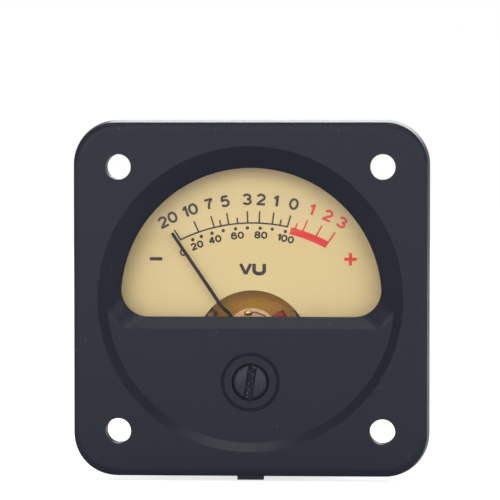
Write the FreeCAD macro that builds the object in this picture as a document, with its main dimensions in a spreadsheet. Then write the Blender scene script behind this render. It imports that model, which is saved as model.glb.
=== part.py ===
import FreeCAD, Part
import math
import os
import re

import Sketcher

# A square-flanged moving-coil level meter for a panel. All sizes are in millimetres.
# X runs to the right and Z up on the dial, Y runs from the viewer into the panel.
# The origin is the middle of the flange's rear face, on the axis of the round barrel.
# The movement turns on its own axis, parallel to Y, below the middle of the barrel.

SIZES = {
    # flange of the front cover
    "flange_side": 45.0,
    "flange_depth": 3.0,
    "flange_corner": 5.6,
    "flange_draft": 0.32,
    "bevel_width": 0.95,
    "bevel_depth": 0.4,
    "mount_inset": 5.9,
    "mount_hole": 1.6,
    "gate_width": 3.3,
    "gate_height": 0.25,
    "gate_depth": 1.4,
    # round recess and window funnel in the front cover
    "rim_land": 3.3,
    "rim_slope": 1.1,
    "recess_depth": 0.83,
    "funnel_run": 1.65,
    "funnel_flat": 3.75,
    "funnel_corner": 2.6,
    "window_flat": 2.3,
    "window_corner": 3.4,
    "window_lip": 0.3,
    "face_inset": 0.6,
    # clear pane behind the window
    "pane_ledge": 0.85,
    "pane_gap": 0.3,
    "pane_depth": 1.0,
    "pane_flat_ledge": 1.2,
    "pane_corner": 2.6,
    # barrel walls
    "barrel_wall": 1.2,
    "skirt_length": 5.0,
    "rebate_depth": 0.8,
    "rebate_gap": 0.05,
    "back_wall": 1.6,
    # screws that hold the rear case to the front cover
    "case_screw": 0.9,
    "case_screw_head": 1.7,
    "case_screw_head_depth": 1.0,
    "case_screw_angle": 52.0,
    "case_boss": 1.5,
    "case_boss_inset": 1.3,
    "case_boss_length": 2.4,
    "case_screw_tip": 0.8,
    "thread_gap": 0.02,
    "hole_gap": 0.1,
    "slot_width": 0.35,
    "slot_depth": 0.35,
    # dial plate and its screws
    "needle_gap": 0.9,
    "dial_gap": 0.9,
    "dial_thickness": 0.5,
    "dial_play": 0.4,
    "dial_cutout_play": 0.2,
    "dial_cutout_rise": 0.5,
    "dial_bottom_gap": 0.2,
    "dial_post": 1.2,
    "dial_post_inset": 1.76,
    "dial_post_angle": 37.0,
    "dial_screw": 0.7,
    "dial_screw_head": 1.15,
    "dial_screw_head_depth": 0.6,
    "dial_screw_length": 2.6,
    # frame that carries the movement
    "frame_play": 0.3,
    "frame_thickness": 3.0,
    "frame_bottom_gap": 0.3,
    "frame_screw": 0.9,
    "frame_screw_head": 1.8,
    "frame_screw_head_depth": 0.9,
    "frame_screw_length": 8.0,
    "frame_screw_inset": 2.9,
    "frame_screw_tilt": 2.0,
    "pillar": 2.0,
    # magnet system
    "yoke_wall": 3.1,
    "yoke_play": 0.3143,
    "yoke_floor": 1.2,
    "yoke_seat_gap": 0.05,
    "core_radius": 4.7,
    "core_length": 9.0,
    "core_chamfer": 0.3,
    "support_width": 1.8,
    "support_inset": 1.0,
    # moving coil
    "core_play": 0.3,
    "coil_half_width": 2.15,
    "winding_build": 0.6,
    "former_build": 0.2,
    "coil_corner": 0.35,
    "coil_play": 0.35,
    # pivots, jewels and their screws
    "pivot_radius": 0.3,
    "pivot_base": 1.2,
    "pivot_cone": 0.45,
    "pivot_tip": 0.06,
    "collet_radius": 0.8,
    "jewel_screw": 1.1,
    "jewel_screw_front": 1.5,
    "jewel_screw_proud": 0.75,
    "jewel_radius": 0.6,
    "jewel_depth": 0.6,
    "jewel_dimple": 0.4,
    "jewel_gap": 0.05,
    "lock_nut": 2.1,
    "lock_nut_depth": 0.6,
    # bridges that hold the jewel screws
    "bridge_thickness": 0.8,
    "bridge_half_height": 1.6,
    "bridge_end": 1.5,
    "bridge_post": 1.5,
    "bridge_post_reach": 2.1,
    "bridge_screw": 0.7,
    "bridge_screw_head": 1.25,
    "bridge_screw_head_depth": 0.6,
    "bridge_screw_length": 3.0,
    "bridge_clearance": 0.15,
    # hairsprings
    "spring_clearance": 0.25,
    "spring_width": 0.3,
    "spring_strip": 0.08,
    "spring_outer": 4.2,
    "spring_turns": 4,
    # zero adjuster
    "zero_arm": 3.65,
    "zero_head": 2.15,
    "zero_head_gap": 0.22,
    "zero_head_proud": 0.12,
    "zero_counterbore": 0.9,
    "zero_dome": 0.25,
    "zero_stem": 1.55,
    "zero_stem_gap": 0.05,
    "zero_slot_width": 1.1,
    "zero_slot_depth": 0.6,
    "zero_slot_angle": 8.5,
    "zero_ring_inner": 3.3,
    "zero_ring_outer": 3.7,
    "zero_ring_depth": 0.35,
    "zero_pin": 0.35,
    "zero_throw": 0.8,
    "clip_radius": 2.4,
    "clip_thickness": 0.3,
    "clip_gap": 0.08,
    "clip_neck": 1.2,
    "lever_thickness": 0.5,
    "lever_hub": 2.4,
    "lever_bore_gap": 0.08,
    "lever_play": 0.08,
    "lever_arch": 3.25,
    "lever_arch_rise": 2.2,
    "lever_fork_width": 2.6,
    "lever_fork_end": 5.5,
    "lever_slot_start": 3.2,
    "lever_slot_gap": 0.1,
    "spring_tab_width": 0.9,
    "spring_tab_depth": 0.4,
    # pointer
    "rest_angle": -34.1,
    "pointer_length": 18.1,
    "pointer_width": 0.45,
    "pointer_tip_width": 0.4,
    "pointer_thickness": 0.2,
    "pointer_hub": 1.3,
    "crank_run": 1.3,
    "crank_lead": 0.1,
    "tail_length": 6.5,
    "balance_radius": 0.42,
    "balance_length": 1.3,
    "tail_balance_length": 1.9,
    "balance_gap": 0.01,
    "balance_end": 0.2,
    # fixed stops for the pointer
    "stop_angle": 48.2,
    "stop_inset": 0.5,
    "stop_radius": 0.3,
    "stop_proud": 0.3,
    # anchor of the rear hairspring
    "anchor_thickness": 0.5,
    "anchor_gap": 0.4,
    "anchor_hub": 2.2,
    "anchor_arm_width": 1.2,
    # circuit board and its parts
    "board_gap": 1.15,
    "board_thickness": 1.0,
    "board_spacer": 1.0,
    "board_half_width": 11.0,
    "board_play": 0.42,
    "board_bottom": 2.7,
    "board_corner": 2.0,
    "diode_radius": 0.8,
    "diode_length": 3.0,
    "diode_pitch": 2.4,
    "diode_column": 2.5,
    "diode_drop": 2.1,
    "resistor_radius": 1.0,
    "resistor_length": 6.0,
    "resistor_height": 4.5,
    "lead_wire": 0.25,
    "lead_overhang": 0.7,
    # terminals on the back
    "stud_pitch": 16.0,
    "stud_height": 8.0,
    "stud_radius": 1.5,
    "stud_head": 2.6,
    "stud_head_depth": 1.0,
    "stud_reach": 9.0,
    "stud_relief": 0.3,
    "stud_relief_past_nut": 0.3,
    "stud_chamfer": 0.3,
    "spacer_radius": 3.0,
    "washer_radius": 3.2,
    "washer_thickness": 0.5,
    "lug_thickness": 0.4,
    "lug_ring": 2.9,
    "lug_tail": 8.0,
    "lug_tail_width": 2.6,
    "lug_eye": 0.7,
    "nut_radius": 3.1,
    "nut_depth": 2.4,
    # wires between the movement and the circuit board
    "signal_wire": 0.2,
    "signal_inset": 0.4,
    "frame_wire_x": 9.5,
    "frame_wire_height": 3.9,
}

Vector = FreeCAD.Vector
Y_AXIS = Vector(0, 1, 0)

# Places and sizes that follow from the driving dimensions, front to back and centre outwards
FRONT = "(-flange_depth)"
RECESS_FLOOR = f"({FRONT} + recess_depth)"
INNER_FACE = "(-face_inset)"
WINDOW_LIP = f"({INNER_FACE} - window_lip)"
PANE_REAR = f"({INNER_FACE} + pane_depth)"
NEEDLE_FRONT = f"({PANE_REAR} + needle_gap)"
NEEDLE_REAR = f"({NEEDLE_FRONT} + pointer_thickness)"
DIAL_FRONT = f"({NEEDLE_REAR} + dial_gap)"
DIAL_REAR = f"({DIAL_FRONT} + dial_thickness)"
BRIDGE_FRONT = f"({DIAL_REAR} + bridge_clearance)"
BRIDGE_REAR = f"({BRIDGE_FRONT} + bridge_thickness)"
LEVER_REAR = f"({BRIDGE_FRONT} - bridge_clearance)"
LEVER_FRONT = f"({LEVER_REAR} - lever_thickness)"
SPRING_FRONT = f"({BRIDGE_REAR} + spring_clearance)"
SPRING_REAR = f"({SPRING_FRONT} + spring_width)"
ROOT_FRONT = f"({SPRING_REAR} + spring_clearance)"
ROOT_REAR = f"({ROOT_FRONT} + pointer_thickness)"
COIL_FRONT = f"({ROOT_REAR} + coil_play)"
COIL_BUILD = "(winding_build + former_build)"
CORE_FRONT = f"({COIL_FRONT} + {COIL_BUILD} + coil_play)"
CORE_REAR = f"({CORE_FRONT} + core_length)"
COIL_REAR = f"({CORE_REAR} + coil_play + {COIL_BUILD})"
FRAME_REAR = f"({CORE_FRONT} + frame_thickness)"
BACK_SPRING_FRONT = f"({COIL_REAR} + coil_play + spring_clearance)"
BACK_SPRING_REAR = f"({BACK_SPRING_FRONT} + spring_width)"
ANCHOR_FRONT = f"({BACK_SPRING_REAR} + anchor_gap)"
BACK_BRIDGE_FRONT = f"({ANCHOR_FRONT} + anchor_thickness)"
BACK_BRIDGE_REAR = f"({BACK_BRIDGE_FRONT} + bridge_thickness)"
BOARD_FRONT = f"({BACK_BRIDGE_REAR} + board_gap)"
BOARD_REAR = f"({BOARD_FRONT} + board_thickness)"
CASE_FLOOR = f"({BOARD_REAR} + board_spacer)"
CASE_END = f"({CASE_FLOOR} + back_wall)"
RIM = "(flange_side / 2 - rim_land)"
RECESS = f"({RIM} - rim_slope)"
WINDOW = f"({RECESS} - funnel_run)"
PANE = f"({WINDOW} + pane_ledge)"
BORE = f"({PANE} + pane_gap)"
BARREL = f"({BORE} + barrel_wall)"
TONGUE = f"({BORE} + barrel_wall / 2)"
COIL_REACH = f"(core_radius + core_play + {COIL_BUILD})"
YOKE_INNER = f"(sqrt({COIL_REACH} * {COIL_REACH} + coil_half_width * coil_half_width) + yoke_play)"
YOKE_OUTER = f"({YOKE_INNER} + yoke_wall)"
STOP_DISTANCE = f"({YOKE_INNER} + stop_inset)"
CRANK_END = f"({STOP_DISTANCE} - crank_lead)"
CRANK_START = f"({CRANK_END} - crank_run)"
DIAL_CUTOUT = f"({STOP_DISTANCE} + dial_cutout_play)"
PIVOT = f"({YOKE_OUTER} + yoke_floor - {BORE})"
ZERO = f"({PIVOT} - zero_arm)"
CASE_SCREW_X = f"(({BORE} - case_boss_inset) * cos(case_screw_angle))"
CASE_SCREW_Z = f"(-({BORE} - case_boss_inset) * sin(case_screw_angle))"
DIAL_SCREW_X = f"(({BORE} - dial_post_inset) * cos(dial_post_angle))"
DIAL_SCREW_Z = f"(-({BORE} - dial_post_inset) * sin(dial_post_angle))"
DIAL_BOTTOM = f"({CASE_SCREW_Z} + case_boss + dial_bottom_gap)"
FRAME_BOTTOM = f"({CASE_SCREW_Z} + case_screw + frame_bottom_gap)"
FRAME_SCREW = f"({BORE} - frame_screw_inset)"
BRIDGE_SCREW_X = f"({YOKE_OUTER} + bridge_post_reach)"
BOARD_TOP = f"({FRAME_SCREW} - pillar - board_play)"
DIODE_HEIGHT = f"({BOARD_TOP} - diode_drop)"
STUD_END = f"({CASE_END} + stud_reach)"
JEWEL_SCREW_FRONT = f"({BRIDGE_FRONT} - jewel_screw_front)"
JEWEL_SCREW_REAR = f"({BACK_BRIDGE_REAR} + jewel_screw_proud)"

SIDES = (-1, 1)

doc = FreeCAD.newDocument("level_meter")
sheet = doc.addObject("Spreadsheet::Sheet", "Sizes")
for row, (alias, amount) in enumerate(SIZES.items(), start=1):
    sheet.set(f"A{row}", alias)
    sheet.set(f"B{row}", str(amount))
    sheet.setAlias(f"B{row}", alias)
doc.recompute()

# The finished pieces, each under the name of its node
nodes = []


# Sizes and expressions

def on_sheet(expression):
    """Point every size name in an expression at its cell."""
    def cell(match):
        word = match.group()
        return f"Sizes.{word}" if word in SIZES else word
    return re.sub(r"[a-z][a-z_]*", cell, expression)


def value(expression):
    """Work out an expression from the sheet as a plain number."""
    return float(sheet.evalExpression(on_sheet(expression)))


def bind(item, links):
    """Tie properties of an object to expressions of the sheet's sizes."""
    for name, expression in links.items():
        item.setExpression(name, on_sheet(expression))
    return item


def put(item, x="0", y="0", z="0"):
    """Tie an object's place to the sheet."""
    return bind(item, {"Placement.Base.x": x, "Placement.Base.y": y, "Placement.Base.z": z})


def turn(item, angle):
    """Turn an object about its Y axis, clockwise on the dial, by a size from the sheet."""
    item.Placement = FreeCAD.Placement(Vector(), FreeCAD.Rotation(Y_AXIS, value(angle)))
    return bind(item, {"Placement.Rotation.Angle": angle})


def node(item, label):
    """Name a finished piece and list it for export."""
    item.Label = label
    nodes.append(item)
    return item


# Bodies made from sketches

START, END, CENTRE = 1, 2, 3
ORIGIN = (-1, 1)


class Outline:
    """A sketch on one of its body's origin planes, tied to the sheet."""

    # How each plane's own normal runs against the axis that the sketch is moved along
    DIRECTION = {"XZ_Plane": "-", "XY_Plane": "", "YZ_Plane": ""}

    def __init__(self, body, name, depth="0", plane="XZ_Plane"):
        self.body = body
        self.sketch = body.newObject("Sketcher::SketchObject", f"{body.Name}_{name}")
        origin = next(item for item in body.Origin.OriginFeatures if item.Role == plane)
        self.sketch.AttachmentSupport = [(origin, "")]
        self.sketch.MapMode = "FlatFace"
        bind(self.sketch, {"AttachmentOffset.Base.z": f"{self.DIRECTION[plane]}({depth})"})

    def rule(self, kind, *where, size=None):
        """Add a constraint, with its size tied to the sheet where it has one."""
        if size is None:
            return self.sketch.addConstraint(Sketcher.Constraint(kind, *where))
        index = self.sketch.addConstraint(Sketcher.Constraint(kind, *where, value(size)))
        self.sketch.setExpression(f"Constraints[{index}]", on_sheet(size))
        return index

    def hold(self, edge, point, across, up):
        """Hold a point of an edge at its two coordinates."""
        self.rule("DistanceX", *ORIGIN, edge, point, size=across)
        self.rule("DistanceY", *ORIGIN, edge, point, size=up)

    def circle(self, radius, across="0", up="0"):
        """Draw a circle."""
        centre = Vector(value(across), value(up), 0)
        edge = self.sketch.addGeometry(Part.Circle(centre, Vector(0, 0, 1), value(radius)), False)
        self.hold(edge, CENTRE, across, up)
        self.rule("Radius", edge, size=radius)
        return self

    def polygon(self, corners):
        """Draw straight edges round a list of corners, each a pair of expressions."""
        spots = [Vector(value(across), value(up), 0) for across, up in corners]
        count = len(corners)
        edges = []
        for index in range(count):
            line = Part.LineSegment(spots[index], spots[(index + 1) % count])
            edges.append(self.sketch.addGeometry(line, False))
        for index, (across, up) in enumerate(corners):
            self.rule("Coincident", edges[index - 1], END, edges[index], START)
            self.hold(edges[index], START, across, up)
        return self

    def box(self, left, right, bottom, top):
        """Draw an upright rectangle."""
        return self.polygon([(left, bottom), (right, bottom), (right, top), (left, top)])

    def rounded_box(self, half_width, half_height, corner, up="0"):
        """Draw a rectangle with round corners about a point on the upright axis."""
        wide, high, curve = value(half_width), value(half_height), value(corner)
        middle = value(up)
        inner_wide, inner_high = wide - curve, high - curve
        quarter = math.pi / 2
        arcs = []
        centres = ((1, 1), (-1, 1), (-1, -1), (1, -1))
        for index, (side, level) in enumerate(centres):
            centre = Vector(side * inner_wide, middle + level * inner_high, 0)
            circle = Part.Circle(centre, Vector(0, 0, 1), curve)
            arc = Part.ArcOfCircle(circle, index * quarter, (index + 1) * quarter)
            arcs.append(self.sketch.addGeometry(arc, False))
        for index, arc in enumerate(arcs):
            following = arcs[(index + 1) % 4]
            start = self.sketch.getPoint(arc, END)
            end = self.sketch.getPoint(following, START)
            line = self.sketch.addGeometry(Part.LineSegment(start, end), False)
            self.rule("Tangent", arc, END, line, START)
            self.rule("Tangent", line, END, following, START)
        for arc, (side, level) in zip(arcs, centres):
            across = f"{side} * ({half_width} - {corner})"
            self.hold(arc, CENTRE, across, f"({up}) + {level} * ({half_height} - {corner})")
            self.rule("Radius", arc, size=corner)
        return self

    def dee(self, radius, flat, corner):
        """Draw a round window with a level lower edge and two round lower corners."""
        big, low, curve = value(radius), value(flat), value(corner)
        up = curve - low
        across = math.sqrt((big - curve) ** 2 - up ** 2)
        lean = math.atan2(up, across)
        axis = Vector(0, 0, 1)
        right = Part.Circle(Vector(across, up, 0), axis, curve)
        left = Part.Circle(Vector(-across, up, 0), axis, curve)
        crown = Part.Circle(Vector(), axis, big)
        top = self.sketch.addGeometry(Part.ArcOfCircle(crown, lean, math.pi - lean), False)
        west = self.sketch.addGeometry(
            Part.ArcOfCircle(left, math.pi - lean, 1.5 * math.pi), False)
        ends = Vector(-across, -low, 0), Vector(across, -low, 0)
        base = self.sketch.addGeometry(Part.LineSegment(*ends), False)
        east = self.sketch.addGeometry(
            Part.ArcOfCircle(right, 1.5 * math.pi, 2 * math.pi + lean), False)
        for first, second in ((top, west), (west, base), (base, east), (east, top)):
            self.rule("Tangent", first, END, second, START)
        self.rule("Coincident", top, CENTRE, *ORIGIN)
        self.rule("Radius", top, size=radius)
        self.rule("Radius", west, size=corner)
        self.rule("Radius", east, size=corner)
        self.rule("Horizontal", base)
        self.rule("DistanceY", *ORIGIN, base, START, size=f"-({flat})")
        return self

    def feature(self, kind, links=None, **settings):
        """Make a feature of the body from this sketch."""
        item = self.body.newObject(f"PartDesign::{kind}", f"{self.sketch.Name}_{kind}")
        item.Profile = self.sketch
        for name, setting in settings.items():
            setattr(item, name, setting)
        return bind(item, links or {})

    def pad(self, length):
        """Add material from the sketch towards the back."""
        return self.feature("Pad", {"Length": length}, Reversed=True)

    def pocket(self, length):
        """Cut from the sketch towards the back."""
        return self.feature("Pocket", {"Length": length})

    def revolve(self):
        """Turn the sketch about the Y axis into a solid."""
        return self.feature("Revolution", ReferenceAxis=(self.sketch, ["V_Axis"]), Angle=360)

    def groove(self):
        """Turn the sketch about the Y axis and cut it away."""
        return self.feature("Groove", ReferenceAxis=(self.sketch, ["V_Axis"]), Angle=360)


def body_named(name):
    """Start a body that becomes a node of the same name."""
    return node(doc.addObject("PartDesign::Body", name), name)


def loft(outlines, kind):
    """Join a row of outlines with straight walls, adding or cutting."""
    first = outlines[0]
    item = first.feature(kind, Ruled=True)
    item.Sections = [(outline.sketch, [""]) for outline in outlines[1:]]
    return item


def turned(label, corners, x="0", z="0"):
    """Turn a body from half of its section: distance from the axis, and place along Y."""
    body = body_named(label)
    Outline(body, "section", plane="XY_Plane").polygon(corners).revolve()
    put(body, x=x, z=z)
    return body


# Plain solids and what joins them

def solid(kind, name, links):
    """Make a plain solid whose sizes follow the sheet."""
    return bind(doc.addObject(kind, name), links)


def rod(name, radius, start, end, x="0", z="0"):
    """Make a cylinder along Y from start to end."""
    item = solid("Part::Cylinder", name, {"Radius": radius, "Height": f"({end}) - ({start})"})
    item.Placement = FreeCAD.Placement(Vector(), FreeCAD.Rotation(Vector(1, 0, 0), -90))
    return put(item, x, start, z)


def cross_rod(name, radius, left, right, y, z):
    """Make a cylinder along X from left to right."""
    item = solid("Part::Cylinder", name, {"Radius": radius, "Height": f"({right}) - ({left})"})
    item.Placement = FreeCAD.Placement(Vector(), FreeCAD.Rotation(Y_AXIS, 90))
    return put(item, left, y, z)


def block(name, left, right, front, rear, bottom, top):
    """Make a box between three pairs of limits."""
    links = {
        "Length": f"({right}) - ({left})",
        "Width": f"({rear}) - ({front})",
        "Height": f"({top}) - ({bottom})",
    }
    return put(solid("Part::Box", name, links), left, front, bottom)


def hexagon(name, radius, start, end, x="0", z="0"):
    """Make a six-sided prism along Y."""
    item = solid("Part::Prism", name, {"Circumradius": radius, "Height": f"({end}) - ({start})"})
    item.Polygon = 6
    item.Placement = FreeCAD.Placement(Vector(), FreeCAD.Rotation(Vector(1, 0, 0), -90))
    return put(item, x, start, z)


def fuse(name, pieces):
    """Join pieces into one solid."""
    item = doc.addObject("Part::MultiFuse", name)
    item.Shapes = pieces
    return item


def cut(name, base, tool):
    """Cut one piece out of another."""
    item = doc.addObject("Part::Cut", name)
    item.Base = base
    item.Tool = tool
    return item


def common(name, pieces):
    """Keep what all pieces share."""
    item = doc.addObject("Part::MultiCommon", name)
    item.Shapes = pieces
    return item


def group(label, pieces):
    """Keep like pieces as separate solids under one node."""
    item = doc.addObject("Part::Compound", label)
    item.Links = pieces
    return node(item, label)


def slotted_screw(name, radius, head, head_start, head_end, tip, x, z):
    """Make a round-headed screw whose slot is on the side away from its tip."""
    forward = value(tip) > value(head_end)
    shank = (head_end, tip) if forward else (tip, head_start)
    whole = fuse(f"{name}_whole", [
        rod(f"{name}_head", head, head_start, head_end, x, z),
        rod(f"{name}_shank", radius, *shank, x, z),
    ])
    depths = (head_start, f"{head_start} + slot_depth")
    if not forward:
        depths = (f"{head_end} - slot_depth", head_end)
    left, right = f"{x} - {head}", f"{x} + {head}"
    slot = block(f"{name}_slot", left, right, *depths, f"{z} - slot_width / 2",
                 f"{z} + slot_width / 2")
    return cut(name, whole, slot)


# Case

def make_front_cover():
    """Square flange, round recess, window funnel, skirt, bosses and the zero screw's seat."""
    body = body_named("front_cover")
    half = "flange_side / 2"
    shoulder_half = f"({half} - flange_draft)"
    shoulder_corner = "(flange_corner - flange_draft)"
    shoulder_depth = f"{FRONT} + bevel_depth"
    loft([
        Outline(body, "flange_back").rounded_box(half, half, "flange_corner"),
        Outline(body, "flange_shoulder", shoulder_depth).rounded_box(
            shoulder_half, shoulder_half, shoulder_corner),
        Outline(body, "flange_face", FRONT).rounded_box(
            f"({shoulder_half} - bevel_width)", f"({shoulder_half} - bevel_width)",
            f"({shoulder_corner} - bevel_width)"),
    ], "AdditiveLoft")
    Outline(body, "skirt").circle(BARREL).pad("skirt_length")
    Outline(body, "gate", f"{FRONT} + (flange_depth - gate_depth) / 2").box(
        "-gate_width / 2", "gate_width / 2", f"-{half} - gate_height",
        f"-{half} + flange_draft").pad("gate_depth")
    Outline(body, "recess", plane="XY_Plane").polygon([
        ("0", FRONT), (RIM, FRONT), (RECESS, RECESS_FLOOR), ("0", RECESS_FLOOR),
    ]).groove()
    Outline(body, "hollow", INNER_FACE).circle(BORE).pocket("skirt_length + face_inset")
    loft([
        Outline(body, "funnel_mouth", RECESS_FLOOR).dee(RECESS, "funnel_flat", "funnel_corner"),
        Outline(body, "funnel_throat", WINDOW_LIP).dee(WINDOW, "window_flat", "window_corner"),
    ], "SubtractiveLoft")
    Outline(body, "window", WINDOW_LIP).dee(WINDOW, "window_flat", "window_corner").pocket(
        "window_lip")
    Outline(body, "rebate", "skirt_length - rebate_depth").circle(TONGUE).pocket("rebate_depth")
    bosses = Outline(body, "bosses", INNER_FACE)
    pilots = Outline(body, "pilots", INNER_FACE)
    for side in SIDES:
        bosses.circle("case_boss", f"{side} * {CASE_SCREW_X}", CASE_SCREW_Z)
        pilots.circle("case_screw + thread_gap", f"{side} * {CASE_SCREW_X}", CASE_SCREW_Z)
    bosses.pad("case_boss_length")
    pilots.pocket("case_boss_length")
    holes = Outline(body, "mount_holes", FRONT)
    for side in SIDES:
        for level in SIDES:
            inset = f"({half} - mount_inset)"
            holes.circle("mount_hole", f"{side} * {inset}", f"{level} * {inset}")
    holes.pocket("flange_depth")
    Outline(body, "zero_ring", RECESS_FLOOR).circle("zero_ring_outer", up=ZERO).circle(
        "zero_ring_inner", up=ZERO).pocket("zero_ring_depth")
    Outline(body, "zero_seat", RECESS_FLOOR).circle("zero_head + zero_head_gap", up=ZERO).pocket(
        "zero_counterbore")
    Outline(body, "zero_hole", RECESS_FLOOR).circle("zero_stem + zero_stem_gap", up=ZERO).pocket(
        f"{INNER_FACE} - {RECESS_FLOOR}")


def make_window_pane():
    """Flat clear pane, seated on the lip behind the window."""
    body = body_named("window_pane")
    Outline(body, "pane", INNER_FACE).dee(
        PANE, "(window_flat + pane_flat_ledge)", "pane_corner").pad("pane_depth")


def make_rear_case():
    """Round cup with pillars for the frame and seats for the terminals."""
    body = body_named("rear_case")
    Outline(body, "barrel", "skirt_length").circle(BARREL).pad(f"{CASE_END} - skirt_length")
    tongue_front = "skirt_length - rebate_depth + rebate_gap"
    Outline(body, "tongue", tongue_front).circle(f"({TONGUE} - rebate_gap)").pad(
        "rebate_depth - rebate_gap")
    Outline(body, "hollow", tongue_front).circle(BORE).pocket(
        f"{CASE_FLOOR} - ({tongue_front})")
    pillars = Outline(body, "pillars", FRAME_REAR)
    pillar_holes = Outline(body, "pillar_holes", FRAME_REAR)
    for x, z in frame_screw_places():
        pillars.circle("pillar", x, z)
        pillar_holes.circle("frame_screw + thread_gap", x, z)
    pillars.pad(f"{CASE_FLOOR} - {FRAME_REAR}")
    pillar_holes.pocket("frame_screw_length")
    spacers = Outline(body, "spacers", BOARD_REAR)
    stud_holes = Outline(body, "stud_holes", BOARD_REAR)
    screw_heads = Outline(body, "screw_heads", f"{CASE_END} - case_screw_head_depth")
    screw_holes = Outline(body, "screw_holes", CASE_FLOOR)
    for side in SIDES:
        spacers.circle("spacer_radius", f"{side} * stud_pitch / 2", "stud_height")
        stud_holes.circle("stud_radius + hole_gap", f"{side} * stud_pitch / 2", "stud_height")
        x = f"{side} * {CASE_SCREW_X}"
        screw_heads.circle("case_screw_head + hole_gap", x, CASE_SCREW_Z)
        screw_holes.circle("case_screw + hole_gap", x, CASE_SCREW_Z)
    spacers.pad("board_spacer")
    stud_holes.pocket("board_spacer + back_wall")
    screw_heads.pocket("case_screw_head_depth")
    screw_holes.pocket("back_wall")


def make_case_screws():
    """Two long screws from the back wall into the front cover's bosses."""
    group("case_screws", [
        slotted_screw(f"case_screw_{index}", "case_screw", "case_screw_head",
                      f"{CASE_END} - case_screw_head_depth", CASE_END, f"({INNER_FACE} + case_screw_tip)",
                      f"({side} * {CASE_SCREW_X})", CASE_SCREW_Z)
        for index, side in enumerate(SIDES)
    ])


# Dial

def make_dial_plate():
    """Thin printed plate, open round the movement and flat below."""
    body = body_named("dial_plate")
    plate = f"({BORE} - dial_play)"
    Outline(body, "plate", DIAL_FRONT).circle(plate).pad("dial_thickness")
    Outline(body, "cutout", DIAL_FRONT).circle(
        DIAL_CUTOUT, up=f"{PIVOT} + dial_cutout_rise").pocket("dial_thickness")
    Outline(body, "below", DIAL_FRONT).box(
        f"-{plate}", plate, f"-{plate}", DIAL_BOTTOM).pocket("dial_thickness")
    holes = Outline(body, "holes", DIAL_FRONT)
    for side in SIDES:
        holes.circle("dial_screw + hole_gap", f"{side} * {DIAL_SCREW_X}", DIAL_SCREW_Z)
    holes.pocket("dial_thickness")


def make_dial_screws():
    """Two small screws through the dial plate into the frame's posts."""
    group("dial_screws", [
        slotted_screw(f"dial_screw_{index}", "dial_screw", "dial_screw_head",
                      f"{DIAL_FRONT} - dial_screw_head_depth", DIAL_FRONT,
                      f"{DIAL_FRONT} + dial_screw_length",
                      f"({side} * {DIAL_SCREW_X})", DIAL_SCREW_Z)
        for index, side in enumerate(SIDES)
    ])


# Frame and magnet system

def frame_screw_places():
    """Give the places of the three screws that hold the frame in the case."""
    side_x = f"{FRAME_SCREW} * cos(frame_screw_tilt)"
    side_z = f"{FRAME_SCREW} * sin(frame_screw_tilt)"
    return [(f"(-{side_x})", f"({side_z})"), (f"({side_x})", f"({side_z})"),
            ("0", f"{FRAME_SCREW}")]


def make_movement_frame():
    """Disc that grips the yoke, with posts for the dial plate and both bridges."""
    body = body_named("movement_frame")
    disc = f"({BORE} - frame_play)"
    Outline(body, "disc", CORE_FRONT).circle(disc).pad("frame_thickness")
    Outline(body, "yoke_seat", CORE_FRONT).circle(f"{YOKE_OUTER} + yoke_seat_gap", up=PIVOT).pocket(
        "frame_thickness")
    Outline(body, "below", CORE_FRONT).box(
        f"-{disc}", disc, f"-{disc}", FRAME_BOTTOM).pocket("frame_thickness")
    dial_posts = Outline(body, "dial_posts", DIAL_REAR)
    dial_pilots = Outline(body, "dial_pilots", DIAL_REAR)
    front_posts = Outline(body, "front_posts", BRIDGE_REAR)
    front_pilots = Outline(body, "front_pilots", BRIDGE_REAR)
    back_posts = Outline(body, "back_posts", FRAME_REAR)
    back_pilots = Outline(body, "back_pilots", f"{BACK_BRIDGE_FRONT} - bridge_screw_length")
    for side in SIDES:
        post = (f"{side} * {DIAL_SCREW_X}", DIAL_SCREW_Z)
        dial_posts.circle("dial_post", *post)
        dial_pilots.circle("dial_screw + thread_gap", *post)
        bridge = (f"{side} * {BRIDGE_SCREW_X}", PIVOT)
        for posts in (front_posts, back_posts):
            posts.circle("bridge_post", *bridge)
        for pilots in (front_pilots, back_pilots):
            pilots.circle("bridge_screw + thread_gap", *bridge)
    dial_posts.pad(f"{CORE_FRONT} - {DIAL_REAR}")
    dial_pilots.pocket("dial_screw_length")
    front_posts.pad(f"{CORE_FRONT} - {BRIDGE_REAR}")
    front_pilots.pocket("bridge_screw_length")
    back_posts.pad(f"{BACK_BRIDGE_FRONT} - {FRAME_REAR}")
    back_pilots.pocket("bridge_screw_length")
    holes = Outline(body, "screw_holes", CORE_FRONT)
    for x, z in frame_screw_places():
        holes.circle("frame_screw + hole_gap", x, z)
    holes.pocket("frame_thickness")


def make_frame_screws():
    """Three screws through the frame into the case's pillars."""
    group("frame_screws", [
        slotted_screw(f"frame_screw_{index}", "frame_screw", "frame_screw_head",
                      f"{CORE_FRONT} - frame_screw_head_depth", CORE_FRONT,
                      f"{CORE_FRONT} + frame_screw_length", x, z)
        for index, (x, z) in enumerate(frame_screw_places())
    ])


def make_yoke_ring():
    """Soft-iron ring round the moving coil."""
    body = body_named("yoke_ring")
    Outline(body, "ring", CORE_FRONT).circle(YOKE_OUTER).circle(YOKE_INNER).pad("core_length")
    put(body, z=PIVOT)


def make_core_magnet():
    """Round magnet inside the moving coil, with its end edges taken off."""
    turned("core_magnet", [
        ("0", CORE_FRONT), ("core_radius - core_chamfer", CORE_FRONT),
        ("core_radius", f"{CORE_FRONT} + core_chamfer"),
        ("core_radius", f"{CORE_REAR} - core_chamfer"),
        ("core_radius - core_chamfer", CORE_REAR), ("0", CORE_REAR),
    ], z=PIVOT)


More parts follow.
